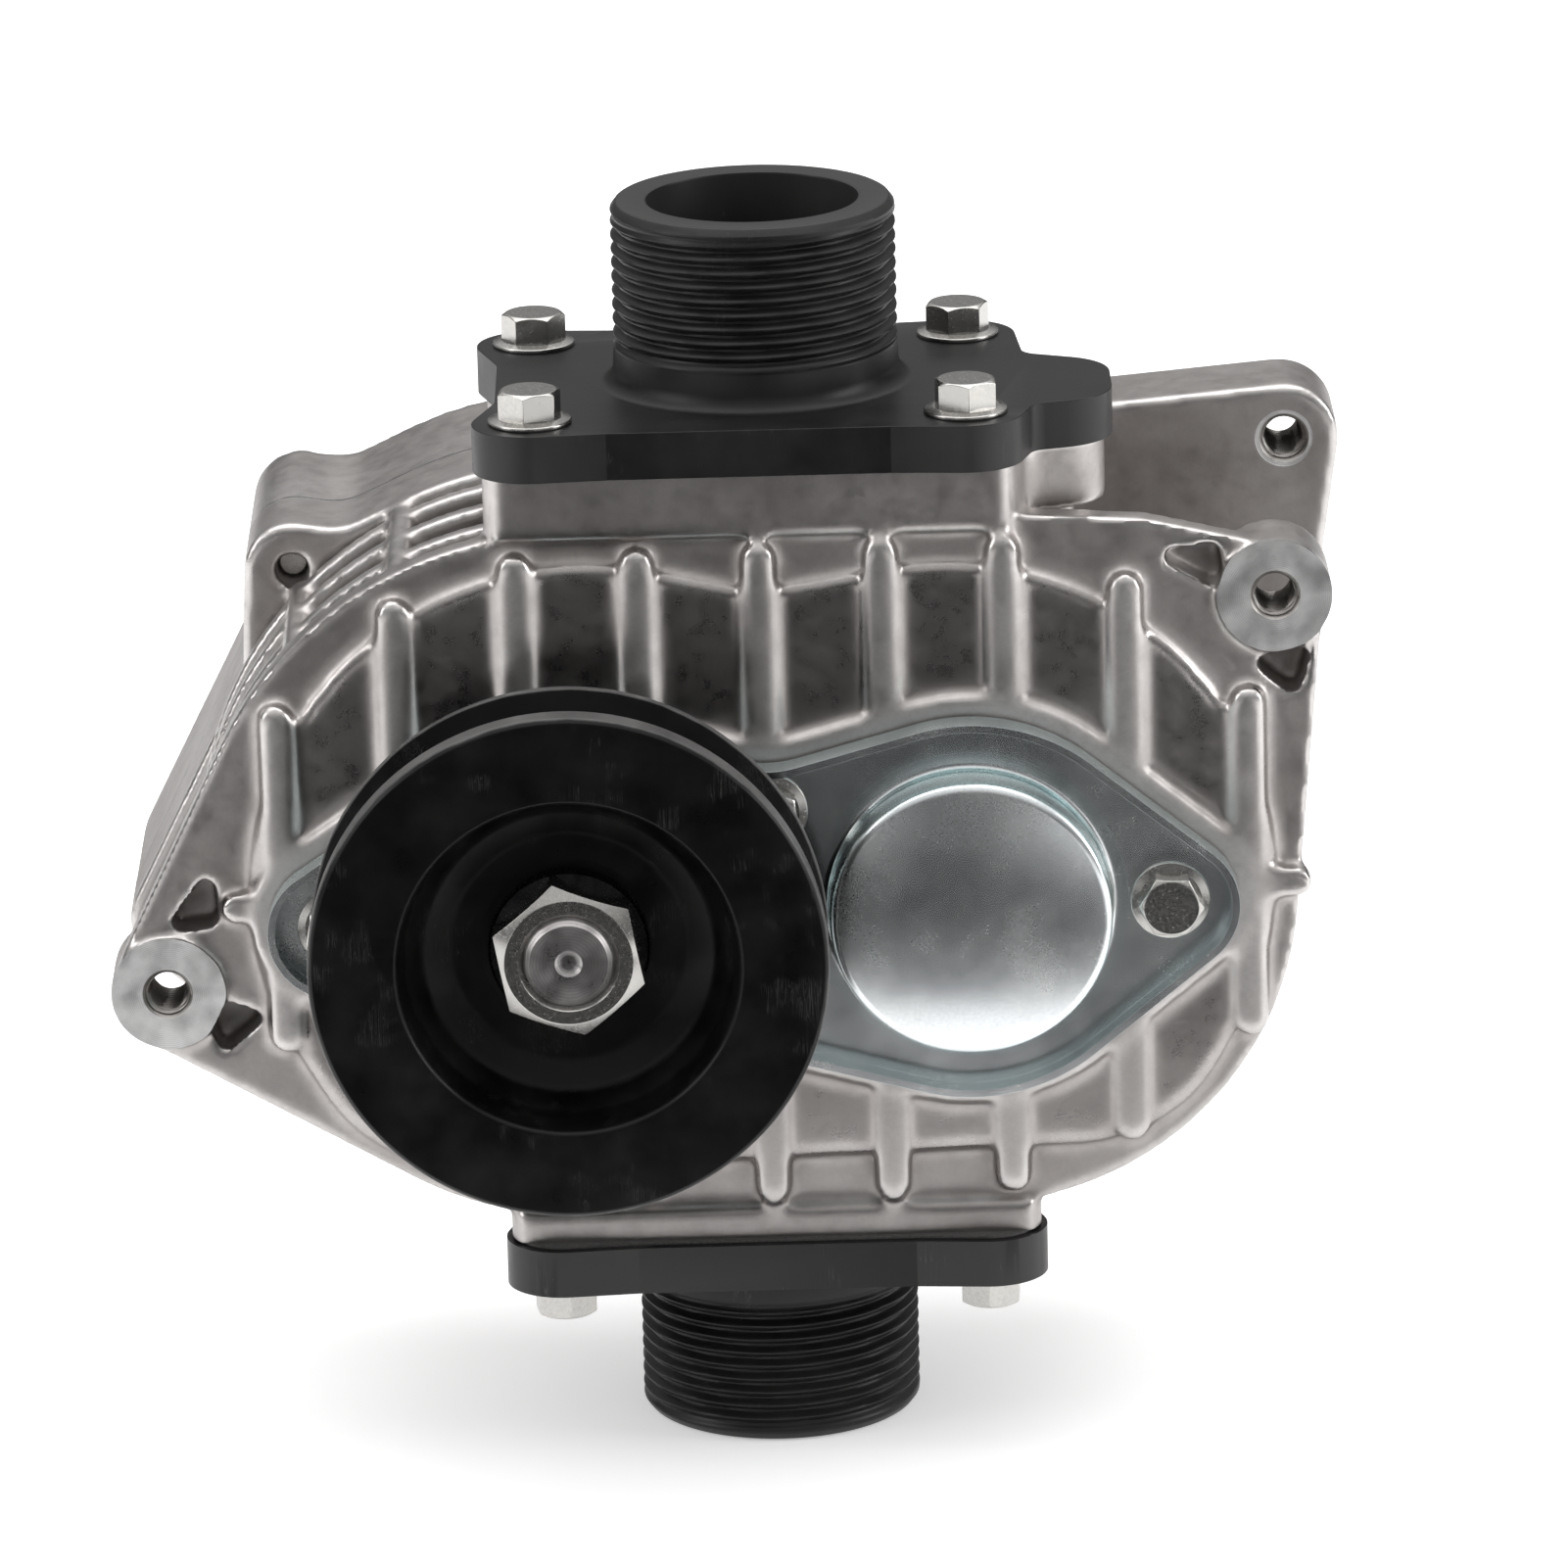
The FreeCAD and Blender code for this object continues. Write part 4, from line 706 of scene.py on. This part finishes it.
def make_housing(materials):
    """The housing casting, with machined faces, tapped bosses and a bored chamber."""
    left_face, right_face, ear_face, tapped, faced = range(1, 6)
    low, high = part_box("housing")
    seat_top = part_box("inlet_gasket")[0][2]
    seat_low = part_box("outlet_gasket")[1][2]
    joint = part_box("rear_gasket")[0][1]
    left, left_size = mount("left_mount_hole")
    right, right_size = mount("right_mount_hole")
    ear, ear_size = mount("rear_mount_hole")
    boss_front = left.y - left_size["length"] / 2
    rib_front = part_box("cover_gasket")[1][1] + 0.3 * MM
    ear_front = ear.y - ear_size["length"] / 2
    form = node_form("housing")
    grow_faces(form, "Z", seat_top, MACHINING_STOCK)
    grow_faces(form, "Z", seat_low, -MACHINING_STOCK)
    grow_faces(form, "Y", joint, MACHINING_STOCK)
    grow_faces(form, "Y", boss_front, -MACHINING_STOCK)
    plugs = round_ribs(form, (rib_front, rib_front + 0.5 * MM))
    piece = form_object("housing_casting", form)
    for hole, size in ((left, left_size), (right, right_size), (ear, ear_size)):
        half = size["length"] / 2 - 0.5 * MM
        start = -half - MACHINING_STOCK if hole is not ear else -half
        plugs.append(place(cylinder("plug", size["r"] + 1 * MM, start, half), hole, "Y"))
    piece = join("housing_casting", [piece, *plugs])
    cast_skin(piece, 0.8 * MM, 7)
    relief_back = rib_front + 3.5 * MM
    points = np.empty(len(piece.data.vertices) * 3)
    piece.data.vertices.foreach_get("co", points)
    soften(piece, 8, np.clip((relief_back - points[1::3]) / (0.6 * MM), 0, 1))
    for material in materials:
        piece.data.materials.append(material)
    far_low = Vector(low) - Vector((CLEAR,) * 3)
    far_high = Vector(high) + Vector((CLEAR,) * 3)
    top_box = box_piece("cut", (far_low.x, far_low.y, seat_top), (TOP_FACE_END, far_high.y, CLEAR))
    cut_with(piece, materials, faced, top_box)
    low_box = box_piece("cut", (far_low.x, far_low.y, -CLEAR), (far_high.x, far_high.y, seat_low))
    cut_with(piece, materials, faced, low_box)
    rear_box = box_piece("cut", (far_low.x, joint, -CLEAR), (far_high.x, far_high.y, CLEAR))
    cut_with(piece, materials, faced, rear_box)
    for hole, index in ((left, left_face), (right, right_face)):
        facing = place(cylinder("cut", BOSS_FACING_R, -12 * MM, 0), (hole.x, boss_front, hole.z), "Y")
        cut_with(piece, materials, index, facing)
    spot = place(cylinder("cut", EAR_FACING_R, -8 * MM, EAR_FACING_DEPTH), (ear.x, ear_front, ear.z), "Y")
    cut_with(piece, materials, ear_face, spot)
    for hole, size, front in (
        (left, left_size, boss_front),
        (right, right_size, boss_front),
        (ear, ear_size, ear_front + EAR_FACING_DEPTH),
    ):
        rod = threaded_rod("cut", size["r"], size["r"] + 0.6 * MM, size["length"] + 2 * MM, TAPPED_PITCH)
        cut_with(piece, materials, tapped, place(rod, (hole.x, front, hole.z), "Y"))
    chamber_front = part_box("drive_rotor")[0][1] - 0.15 * MM
    plate_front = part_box("bearing_plate")[0][1]
    bearing_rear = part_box("drive_front_bearing_outer")[1][1]
    recess_r = PLATE_RECESS_R + VISUAL_GAP
    for x in (0.0, GAP):
        bore = cylinder("cut", CHAMBER_R + VISUAL_GAP, chamber_front, plate_front + 2 * MM)
        cut_with(piece, materials, faced, place(bore, (x, 0, 0), "Y"))
        recess = cylinder("cut", recess_r, plate_front, joint + 5 * MM)
        cut_with(piece, materials, faced, place(recess, (x, 0, 0), "Y"))
        seat = cylinder("cut", BEARING_SEAT_R + VISUAL_GAP / 4, 10 * MM, bearing_rear)
        cut_with(piece, materials, faced, place(seat, (x, 0, 0), "Y"))
    mark_relief(piece, 14, 0.9 * MM)
    shade(piece, 40, False)
    finish_piece(piece, "casing", None, ["housing"])
    return piece


def make_rear_cover(materials):
    """The rear cover casting, faced where it meets the housing."""
    faced = 1
    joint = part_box("rear_cover")[0][1]
    form = node_form("rear_cover")
    grow_faces(form, "Y", joint, -MACHINING_STOCK)
    piece = form_object("rear_cover_casting", form)
    cast_skin(piece, 1.1 * MM, 6)
    for material in materials:
        piece.data.materials.append(material)
    box = box_piece("cut", (-CLEAR, joint - CLEAR, -CLEAR), (CLEAR, joint, CLEAR))
    cut_with(piece, materials, faced, box)
    for bolt_low, bolt_high in loose_boxes("rear_cover_bolts"):
        middle = (bolt_low + bolt_high) / 2
        seat_y = bolt_high.y - 7.2 * MM
        facing = place(cylinder("cut", 7.6 * MM, 0, 6 * MM), (middle.x, seat_y, middle.z), "Y")
        cut_with(piece, materials, faced, facing)
    mark_relief(piece, 14, 0.9 * MM)
    shade(piece, 40, False)
    finish_piece(piece, "casing", None, ["rear_cover"])
    return piece


# ---------------------------------------------------------------- turned and moulded pieces


def make_adapter(node, material, up):
    """A port adapter: its moulded flange, a flared root and a threaded spigot."""
    low, high = (Vector(v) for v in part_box(node))
    name = "inlet_spigot" if up else "outlet_spigot"
    middle, size = mount(name)
    length = size["length"]
    r = size["r"]
    bore_r = PORT_BORE_R
    flange = (high.z - low.z) - length
    form = node_form(node)
    bmesh.ops.dissolve_limit(form, angle_limit=0.03, verts=form.verts, edges=form.edges)
    bmesh.ops.triangulate(form, faces=form.faces)
    plate = form_object(f"{node}_moulding", form)
    cutter = box_piece("cut", (-1, -1, flange), (1, 1, 1))
    place(cutter, (0, 0, low.z if up else high.z), "Z" if up else "-Z")
    combine(plate, cutter, "DIFFERENCE")
    form = bmesh.new()
    form.from_mesh(plate.data)
    bmesh.ops.dissolve_limit(form, angle_limit=0.02, verts=form.verts, edges=form.edges)
    form.to_mesh(plate.data)
    form.free()
    bevel = plate.modifiers.new("edge", "BEVEL")
    bevel.limit_method = "ANGLE"
    bevel.angle_limit = math.radians(40)
    bevel.width = 0.55 * MM
    bevel.segments = 3
    settle(plate)
    pitch = 2.5 * MM
    end = flange + length
    neck = flange + 6.5 * MM
    flare = [(r + 3.2 * MM, flange - 0.3 * MM), (r + 1.5 * MM, flange + 0.5 * MM)]
    flare += [(r + 0.5 * MM, flange + 1.6 * MM), (r + 0.1 * MM, flange + 3.2 * MM)]
    outer = [(r, z) for z in steps_between(neck, end - 1.6 * MM, 0.22 * MM)]
    rim = [(r - 0.1 * MM, end - 1.3 * MM), (r - 0.9 * MM, end - 0.25 * MM), (r - 1.3 * MM, end)]
    mouth_edge = [(bore_r + 0.6 * MM, end), (bore_r + 0.15 * MM, end - 0.2 * MM), (bore_r, end - 0.6 * MM)]
    profile = [(bore_r, flange * 0.3), (r + 3.2 * MM, flange * 0.3)] + flare + outer + rim + mouth_edge
    thread = (neck, end - 1.4 * MM, pitch, 1.15 * MM)
    tube = lathe("tube", profile, 144, True, thread)
    middle_at = (middle.x, middle.y, low.z if up else high.z)
    place(tube, middle_at, "Z" if up else "-Z")
    combine(plate, tube, "UNION")
    mark_relief(plate, 1, 0.35 * MM)
    shade(plate, 34)
    finish_piece(plate, "casing", material, [node])
    return plate


def make_pulley(material):
    """The pulley: rim with its V groove, a flat painted face and a bowl round the hub."""
    low, high = (Vector(v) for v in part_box("pulley"))
    r = high.x
    front = low.y
    rear = high.y
    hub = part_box("pulley_washer")[1][1]
    half = 6.8 * MM
    floor_r = r - 12 * MM
    bore = 8.5 * MM
    face = [
        (bore, hub),
        (15.5 * MM, hub),
        (20.5 * MM, 1.9 * MM),
        (25.5 * MM, -0.6 * MM),
        (28.4 * MM, -5 * MM),
        (29.5 * MM, front + 0.9 * MM),
        (30.4 * MM, front),
        (r - 0.8 * MM, front),
        (r, front + 0.8 * MM),
        (r, -half),
        (floor_r, -half + 4.2 * MM),
        (floor_r, half - 4.2 * MM),
        (r, half),
        (r, rear - 0.7 * MM),
        (r - 0.7 * MM, rear),
        (38 * MM, rear),
        (36 * MM, rear - 3 * MM),
        (19 * MM, rear - 3 * MM),
        (17 * MM, rear),
        (bore, rear),
    ]
    bowl = rounded(face[:7], 4 * MM, 8)
    rest = rounded(face[6:], 0.45 * MM, 4)
    piece = place(lathe("pulley_turned", bowl + rest[1:], 192), (0, 0, 0), "Y")
    shade(piece, 50)
    finish_piece(piece, "drive_train", material, ["pulley"])


def hex_block(name, flats, start, end, chamfer_r, turn=0.0):
    """A hexagon prism along Z whose corners are turned off at its top end."""
    corner = flats / math.sqrt(3)
    angles = [math.pi / 3 * i + turn for i in range(6)]
    ring = [(corner * math.cos(a), corner * math.sin(a)) for a in angles]
    verts = [(x, y, start) for x, y in ring] + [(x, y, end) for x, y in ring]
    faces = [tuple(range(6)), tuple(range(6, 12))]
    faces += [(i, (i + 1) % 6, (i + 1) % 6 + 6, i + 6) for i in range(6)]
    block = solid(name, verts, faces)
    wide = corner + 2 * MM
    drop = (wide - chamfer_r) * math.tan(math.radians(30))
    outline = [(0, start - MM), (wide, start - MM), (wide, end - drop), (chamfer_r, end), (0, end)]
    cone = lathe("cone", outline, 96, False)
    combine(block, cone, "INTERSECT")
    bevel = block.modifiers.new("edge", "BEVEL")
    bevel.limit_method = "ANGLE"
    bevel.angle_limit = math.radians(20)
    bevel.width = 0.12 * MM
    bevel.segments = 2
    settle(block)
    return block


def bolt_piece(length, disc_r, disc_thick, head, flats, shank_r):
    """A hexagon bolt with a pressed flange, its seat at zero and its head upwards."""
    head_piece = hex_block("head", flats, disc_thick * 0.5, head, flats * 0.475)
    disc = rounded(
        [
            (0, 0),
            (disc_r, 0),
            (disc_r, disc_thick * 0.6),
            (disc_r - 1.5 * MM, disc_thick),
            (0, disc_thick * 1.02),
        ],
        0.3 * MM,
        4,
    )
    disc_piece = lathe("disc", disc, 72, False)
    shank = [(0, -length), (shank_r - 0.6 * MM, -length), (shank_r, 0.6 * MM - length), (shank_r, 0), (0, 0)]
    return join("bolt", [head_piece, disc_piece, lathe("shank", shank, 32, False)])


def make_bolts(node, axis, material, length, disc_r, disc_thick, head):
    """Every bolt of a node, placed where its CAD solids are."""
    flats = 10 * MM
    index = "XYZ".index(axis[-1])
    sign = -1 if axis.startswith("-") else 1
    pieces = []
    for low, high in loose_boxes(node):
        at = (low + high) / 2
        tip = high[index] if sign > 0 else low[index]
        at[index] = tip - sign * head
        bolt = bolt_piece(length, disc_r, disc_thick, head, flats, 2.9 * MM)
        turn = 0.35 + 1.7 * len(pieces)
        bolt.data.transform(Matrix.Rotation(turn, 4, "Z"))
        pieces.append(place(bolt, at, axis))
    piece = join(f"{node}_set", pieces)
    shade(piece, 28)
    finish_piece(piece, "casing", material, [node])


def make_nut(material):
    low, high = (Vector(v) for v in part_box("pulley_nut"))
    height = high.y - low.y
    nut = hex_block("pulley_nut_forged", 24 * MM, 0, height, 11.1 * MM, math.radians(-19.4))
    hole = lathe(
        "hole",
        [
            (0, -MM),
            (8.05 * MM, -MM),
            (8.05 * MM, height - 0.8 * MM),
            (9.4 * MM, height + 0.6 * MM),
            (0, height + 0.6 * MM),
        ],
        96,
        False,
    )
    combine(nut, hole, "DIFFERENCE")
    place(nut, (0, high.y, 0), "-Y")
    shade(nut, 28)
    finish_piece(nut, "drive_train", material, ["pulley_nut"])


def mark_bends(piece):
    """Store how far each point's surface turns away from the front, as bend."""
    mesh = piece.data
    turned = [1 - abs(v.normal.y) for v in mesh.vertices]
    layer = mesh.attributes.new("bend", "FLOAT", "POINT")
    layer.data.foreach_set("value", turned)


def make_bearing_cover(material):
    """The pressed cover: the CAD plate and lip, with a domed cap drawn out of it."""
    gasket_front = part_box("cover_gasket")[0][1]
    thick = 1.2 * MM
    sheet_front = gasket_front - thick
    cap_r = 24.7 * MM
    rise = 11 * MM
    form = node_form("bearing_cover")
    piece = form_object("bearing_cover_pressing", form)
    cutter = cylinder("cut", cap_r + 3 * MM, -30 * MM, 10 * MM)
    combine(piece, place(cutter, (GAP, sheet_front, 0), "Y"), "DIFFERENCE")
    soften = piece.modifiers.new("edge", "BEVEL")
    soften.limit_method = "ANGLE"
    soften.angle_limit = math.radians(50)
    soften.width = 0.4 * MM
    soften.segments = 3
    settle(piece)
    wide = cap_r + 3 * MM
    dome = 2.0 * MM
    outer_line = [(wide, 0)] + rounded([(wide, 0), (cap_r, 0), (cap_r, rise * 0.5)], 1.3 * MM, 5)[1:-1]
    crown = [(cap_r * t, rise - dome * t * t) for t in (1.0, 0.8, 0.6, 0.4, 0.2, 0.0)]
    outer_line += rounded([(cap_r, rise * 0.5), crown[0], crown[1]], 2.4 * MM, 8)[1:-1] + crown[1:]
    inner = cap_r - thick
    under = rise - thick - dome
    inner_line = [(0, rise - thick), (inner - 1 * MM, under), (inner, under - 1 * MM)]
    inner_line += [(inner, -thick), (wide, -thick)]
    cap = lathe("cap", outer_line + inner_line, 160, True)
    place(cap, (GAP, sheet_front, 0), "-Y")
    piece = join("bearing_cover_pressing", [piece, cap])
    shade(piece, 40)
    mark_bends(piece)
    finish_piece(piece, "casing", material, ["bearing_cover"])


# ---------------------------------------------------------------- the whole object


def look_at_nodes(material, *names):
    for name in names:
        mesh = NODES[name].data
        mesh.materials.clear()
        mesh.materials.append(material)


def sides(*patterns):
    """Names for both shafts."""
    return [pattern.format(side) for pattern in patterns for side in ("drive", "driven")]


def dress():
    """Make every piece and give every node its material."""
    shaft_axis = (0, 0, 0)
    cast = cast_aluminium()
    left = mount("left_mount_hole")[0]
    right = mount("right_mount_hole")[0]
    ear = mount("rear_mount_hole")[0]
    faced = machined_metal("faced_aluminium", shaft_axis, "XZ", pitch=0.8 * MM)
    tapped = machined_metal("tapped_aluminium", left, "XZ", (0.42, 0.40, 0.38))
    wall_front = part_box("cover_gasket")[1][1]
    plateau = (wall_front + 1.4 * MM, wall_front + 2.6 * MM, (GAP / 2, 0, 48 * MM), 75 * MM)
    housing_slots = [
        cast_aluminium(plateau),
        machined_metal("left_boss_face", left, "XZ"),
        machined_metal("right_boss_face", right, "XZ"),
        machined_metal("ear_face", ear, "XZ"),
        tapped,
        faced,
    ]
    make_housing(housing_slots)
    make_rear_cover([cast, faced])
    plastic = black_plastic()
    make_adapter("inlet_adapter", plastic, True)
    make_adapter("outlet_adapter", plastic, False)
    make_pulley(black_paint(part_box("pulley")[1][0]))
    zinc = zinc_fastener()
    make_bolts("inlet_bolts", "Z", zinc, 21 * MM, 7.3 * MM, 1.2 * MM, 6 * MM)
    make_bolts("outlet_bolts", "-Z", zinc, 13.6 * MM, 7.3 * MM, 1.2 * MM, 6 * MM)
    make_bolts("cover_bolts", "-Y", zinc, 12 * MM, 7.0 * MM, 0.9 * MM, 5.2 * MM)
    make_bolts("rear_cover_bolts", "Y", zinc, 46 * MM, 7.0 * MM, 1.5 * MM, 7.2 * MM)
    make_nut(zinc)
    make_bearing_cover(zinc_sheet())
    look_at_nodes(zinc, "oil_fill_plug", "oil_drain_plug")
    look_at_nodes(plain_steel("dark_steel", (0.02, 0.02, 0.022), (0.06, 0.06, 0.065), 0.24), "pulley_washer")
    turned = machined_metal("turned_steel", shaft_axis, "XZ", (0.50, 0.48, 0.475), 0.55 * MM, 0.3, True)
    look_at_nodes(turned, "drive_shaft", "pulley_key", "seal_sleeve", "driven_shaft", "dowel_pins")
    look_at_nodes(turned, *sides("{}_gear_spacer", "{}_gear_nut"))
    gear_steel = plain_steel("gear_steel", (0.25, 0.25, 0.27), (0.42, 0.42, 0.44), 0.35)
    look_at_nodes(gear_steel, *sides("{}_gear"))
    bearing_steel = plain_steel("bearing_steel", (0.62, 0.62, 0.64), (0.78, 0.78, 0.80), 0.14)
    for end in ("front", "rear"):
        parts = [f"{{}}_{end}_bearing_{part}" for part in ("inner", "outer", "balls")]
        look_at_nodes(bearing_steel, *sides(*parts))
    look_at_nodes(faced, "bearing_plate", "drive_rotor", "driven_rotor")
    rubber = soft_sheet("seal_rubber", (0.012, 0.012, 0.012), (0.03, 0.03, 0.03), 0.5, 0.5 * MM)
    look_at_nodes(rubber, "shaft_seal", "front_rotor_seals", "rear_rotor_seals")
    gasket = soft_sheet("gasket", (0.05, 0.05, 0.05), (0.11, 0.105, 0.10), 0.8, 0.6 * MM)
    look_at_nodes(gasket, "cover_gasket", "rear_gasket", "inlet_gasket", "outlet_gasket")
    copper = plain_steel("copper_washers", (0.55, 0.28, 0.17), (0.78, 0.45, 0.30), 0.3)
    look_at_nodes(copper, "plug_washers")


# ---------------------------------------------------------------- studio


def make_floor():
    """A pale light table in nine parts; those in front and behind don't show in the metal."""
    low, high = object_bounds()
    z = low[2] - 0.3 * MM
    reach = 4.0
    look = Look("floor_paper", 0.0, 0.9)
    haze = look.noise(0.5, 2.0)
    look.set("Base Color", look.tone(haze, (0.90, 0.90, 0.90), (0.92, 0.92, 0.92)))
    look.set("Emission Color", (1, 1, 1, 1))
    look.set("Emission Strength", 0.36)
    across = (-reach, low[0] - SIDE_FLOOR, high[0] + SIDE_FLOOR, reach)
    along = (-reach, low[1] - NEAR_FLOOR, high[1] + NEAR_FLOOR, reach)
    for column in range(3):
        for row in range(3):
            left, right = across[column : column + 2]
            start, end = along[row : row + 2]
            corners = [(left, start, z), (right, start, z), (right, end, z), (left, end, z)]
            floor = solid(f"studio_floor_{column}_{row}", corners, [(0, 1, 2, 3)])
            floor.data.materials.append(look.material)
            floor.visible_glossy = row == 1 or column != 1
    paper = Look("backdrop_paper", 0.0, 0.9)
    paper.set("Emission Color", (1, 1, 1, 1))
    paper.set("Emission Strength", 0.9)
    wall = lathe("studio_backdrop", [(reach * 0.95, z), (reach * 0.95, 3.0)], 96, False)
    wall.data.materials.append(paper.material)
    wall.visible_glossy = False
    wall.visible_diffuse = False
    wall.visible_shadow = False


def area_light(name, at, target, size, power, colour=(1, 1, 1)):
    data = bpy.data.lights.new(name, "AREA")
    data.shape = "RECTANGLE"
    data.size, data.size_y = size
    data.energy = power
    data.color = colour
    lamp = bpy.data.objects.new(name, data)
    lamp.location = at
    lamp.rotation_euler = (Vector(target) - Vector(at)).to_track_quat("-Z", "Y").to_euler()
    bpy.context.collection.objects.link(lamp)


NEAR_FLOOR = 0.135
SIDE_FLOOR = 0.19
WORLD_STEPS = [(0.0, 0.05), (0.46, 0.06), (0.56, 0.09), (0.68, 0.52), (0.8, 0.9), (1.0, 1.0)]


def make_studio():
    """A large soft light overhead in a room that is dim at eye height, with weak fills."""
    middle = (GAP / 2, 0.05, 0)
    area_light("overhead", (0.0, 0.45, 1.8), (0.0, 0.45, 0.0), (2.6, 2.2), 30)
    area_light("left_fill", (-1.6, -0.5, 0.75), middle, (0.7, 1.0), 8)
    area_light("right_fill", (1.8, -0.3, 0.6), middle, (0.6, 1.0), 12)
    world = bpy.data.worlds.new("studio")
    world.use_nodes = True
    nodes = world.node_tree.nodes
    links = world.node_tree.links
    where = nodes.new("ShaderNodeTexCoord")
    split = nodes.new("ShaderNodeSeparateXYZ")
    links.new(where.outputs["Generated"], split.inputs[0])
    height = nodes.new("ShaderNodeMapRange")
    height.inputs["From Min"].default_value = -1.0
    links.new(split.outputs[2], height.inputs["Value"])
    ramp = nodes.new("ShaderNodeValToRGB")
    points = ramp.color_ramp.elements
    while len(points) < len(WORLD_STEPS):
        points.new(0.5)
    for point, (at, grey) in zip(points, WORLD_STEPS):
        point.position = at
        point.color = (grey, grey, grey, 1)
    links.new(height.outputs[0], ramp.inputs[0])
    links.new(ramp.outputs[0], nodes["Background"].inputs["Color"])
    nodes["Background"].inputs["Strength"].default_value = 0.9
    bpy.context.scene.world = world
    bpy.context.scene.view_settings.view_transform = "Standard"


def make_camera():
    """A long lens a little above the object, nearly square to its front."""
    target = Vector((38.05, 52.41, 12.99)) * MM
    distance = 1831.6 * MM
    azimuth = math.radians(-0.164)
    elevation = math.radians(16.82)
    roll = math.radians(1.442)
    back = Vector(
        (
            math.sin(azimuth) * math.cos(elevation),
            -math.cos(azimuth) * math.cos(elevation),
            math.sin(elevation),
        )
    )
    right = (-back).cross(Vector((0, 0, 1))).normalized()
    up = right.cross(-back)
    image_right = right * math.cos(roll) - up * math.sin(roll)
    image_up = right * math.sin(roll) + up * math.cos(roll)
    data = bpy.data.cameras.new("camera")
    data.sensor_width = 36
    data.lens = 236.85
    data.clip_end = 50
    camera = bpy.data.objects.new("camera", data)
    turn = Matrix((image_right, image_up, back)).transposed().to_4x4()
    camera.matrix_world = Matrix.Translation(target + back * distance) @ turn
    bpy.context.collection.objects.link(camera)
    bpy.context.scene.camera = camera


dress()
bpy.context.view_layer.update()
make_floor()
make_studio()
make_camera()
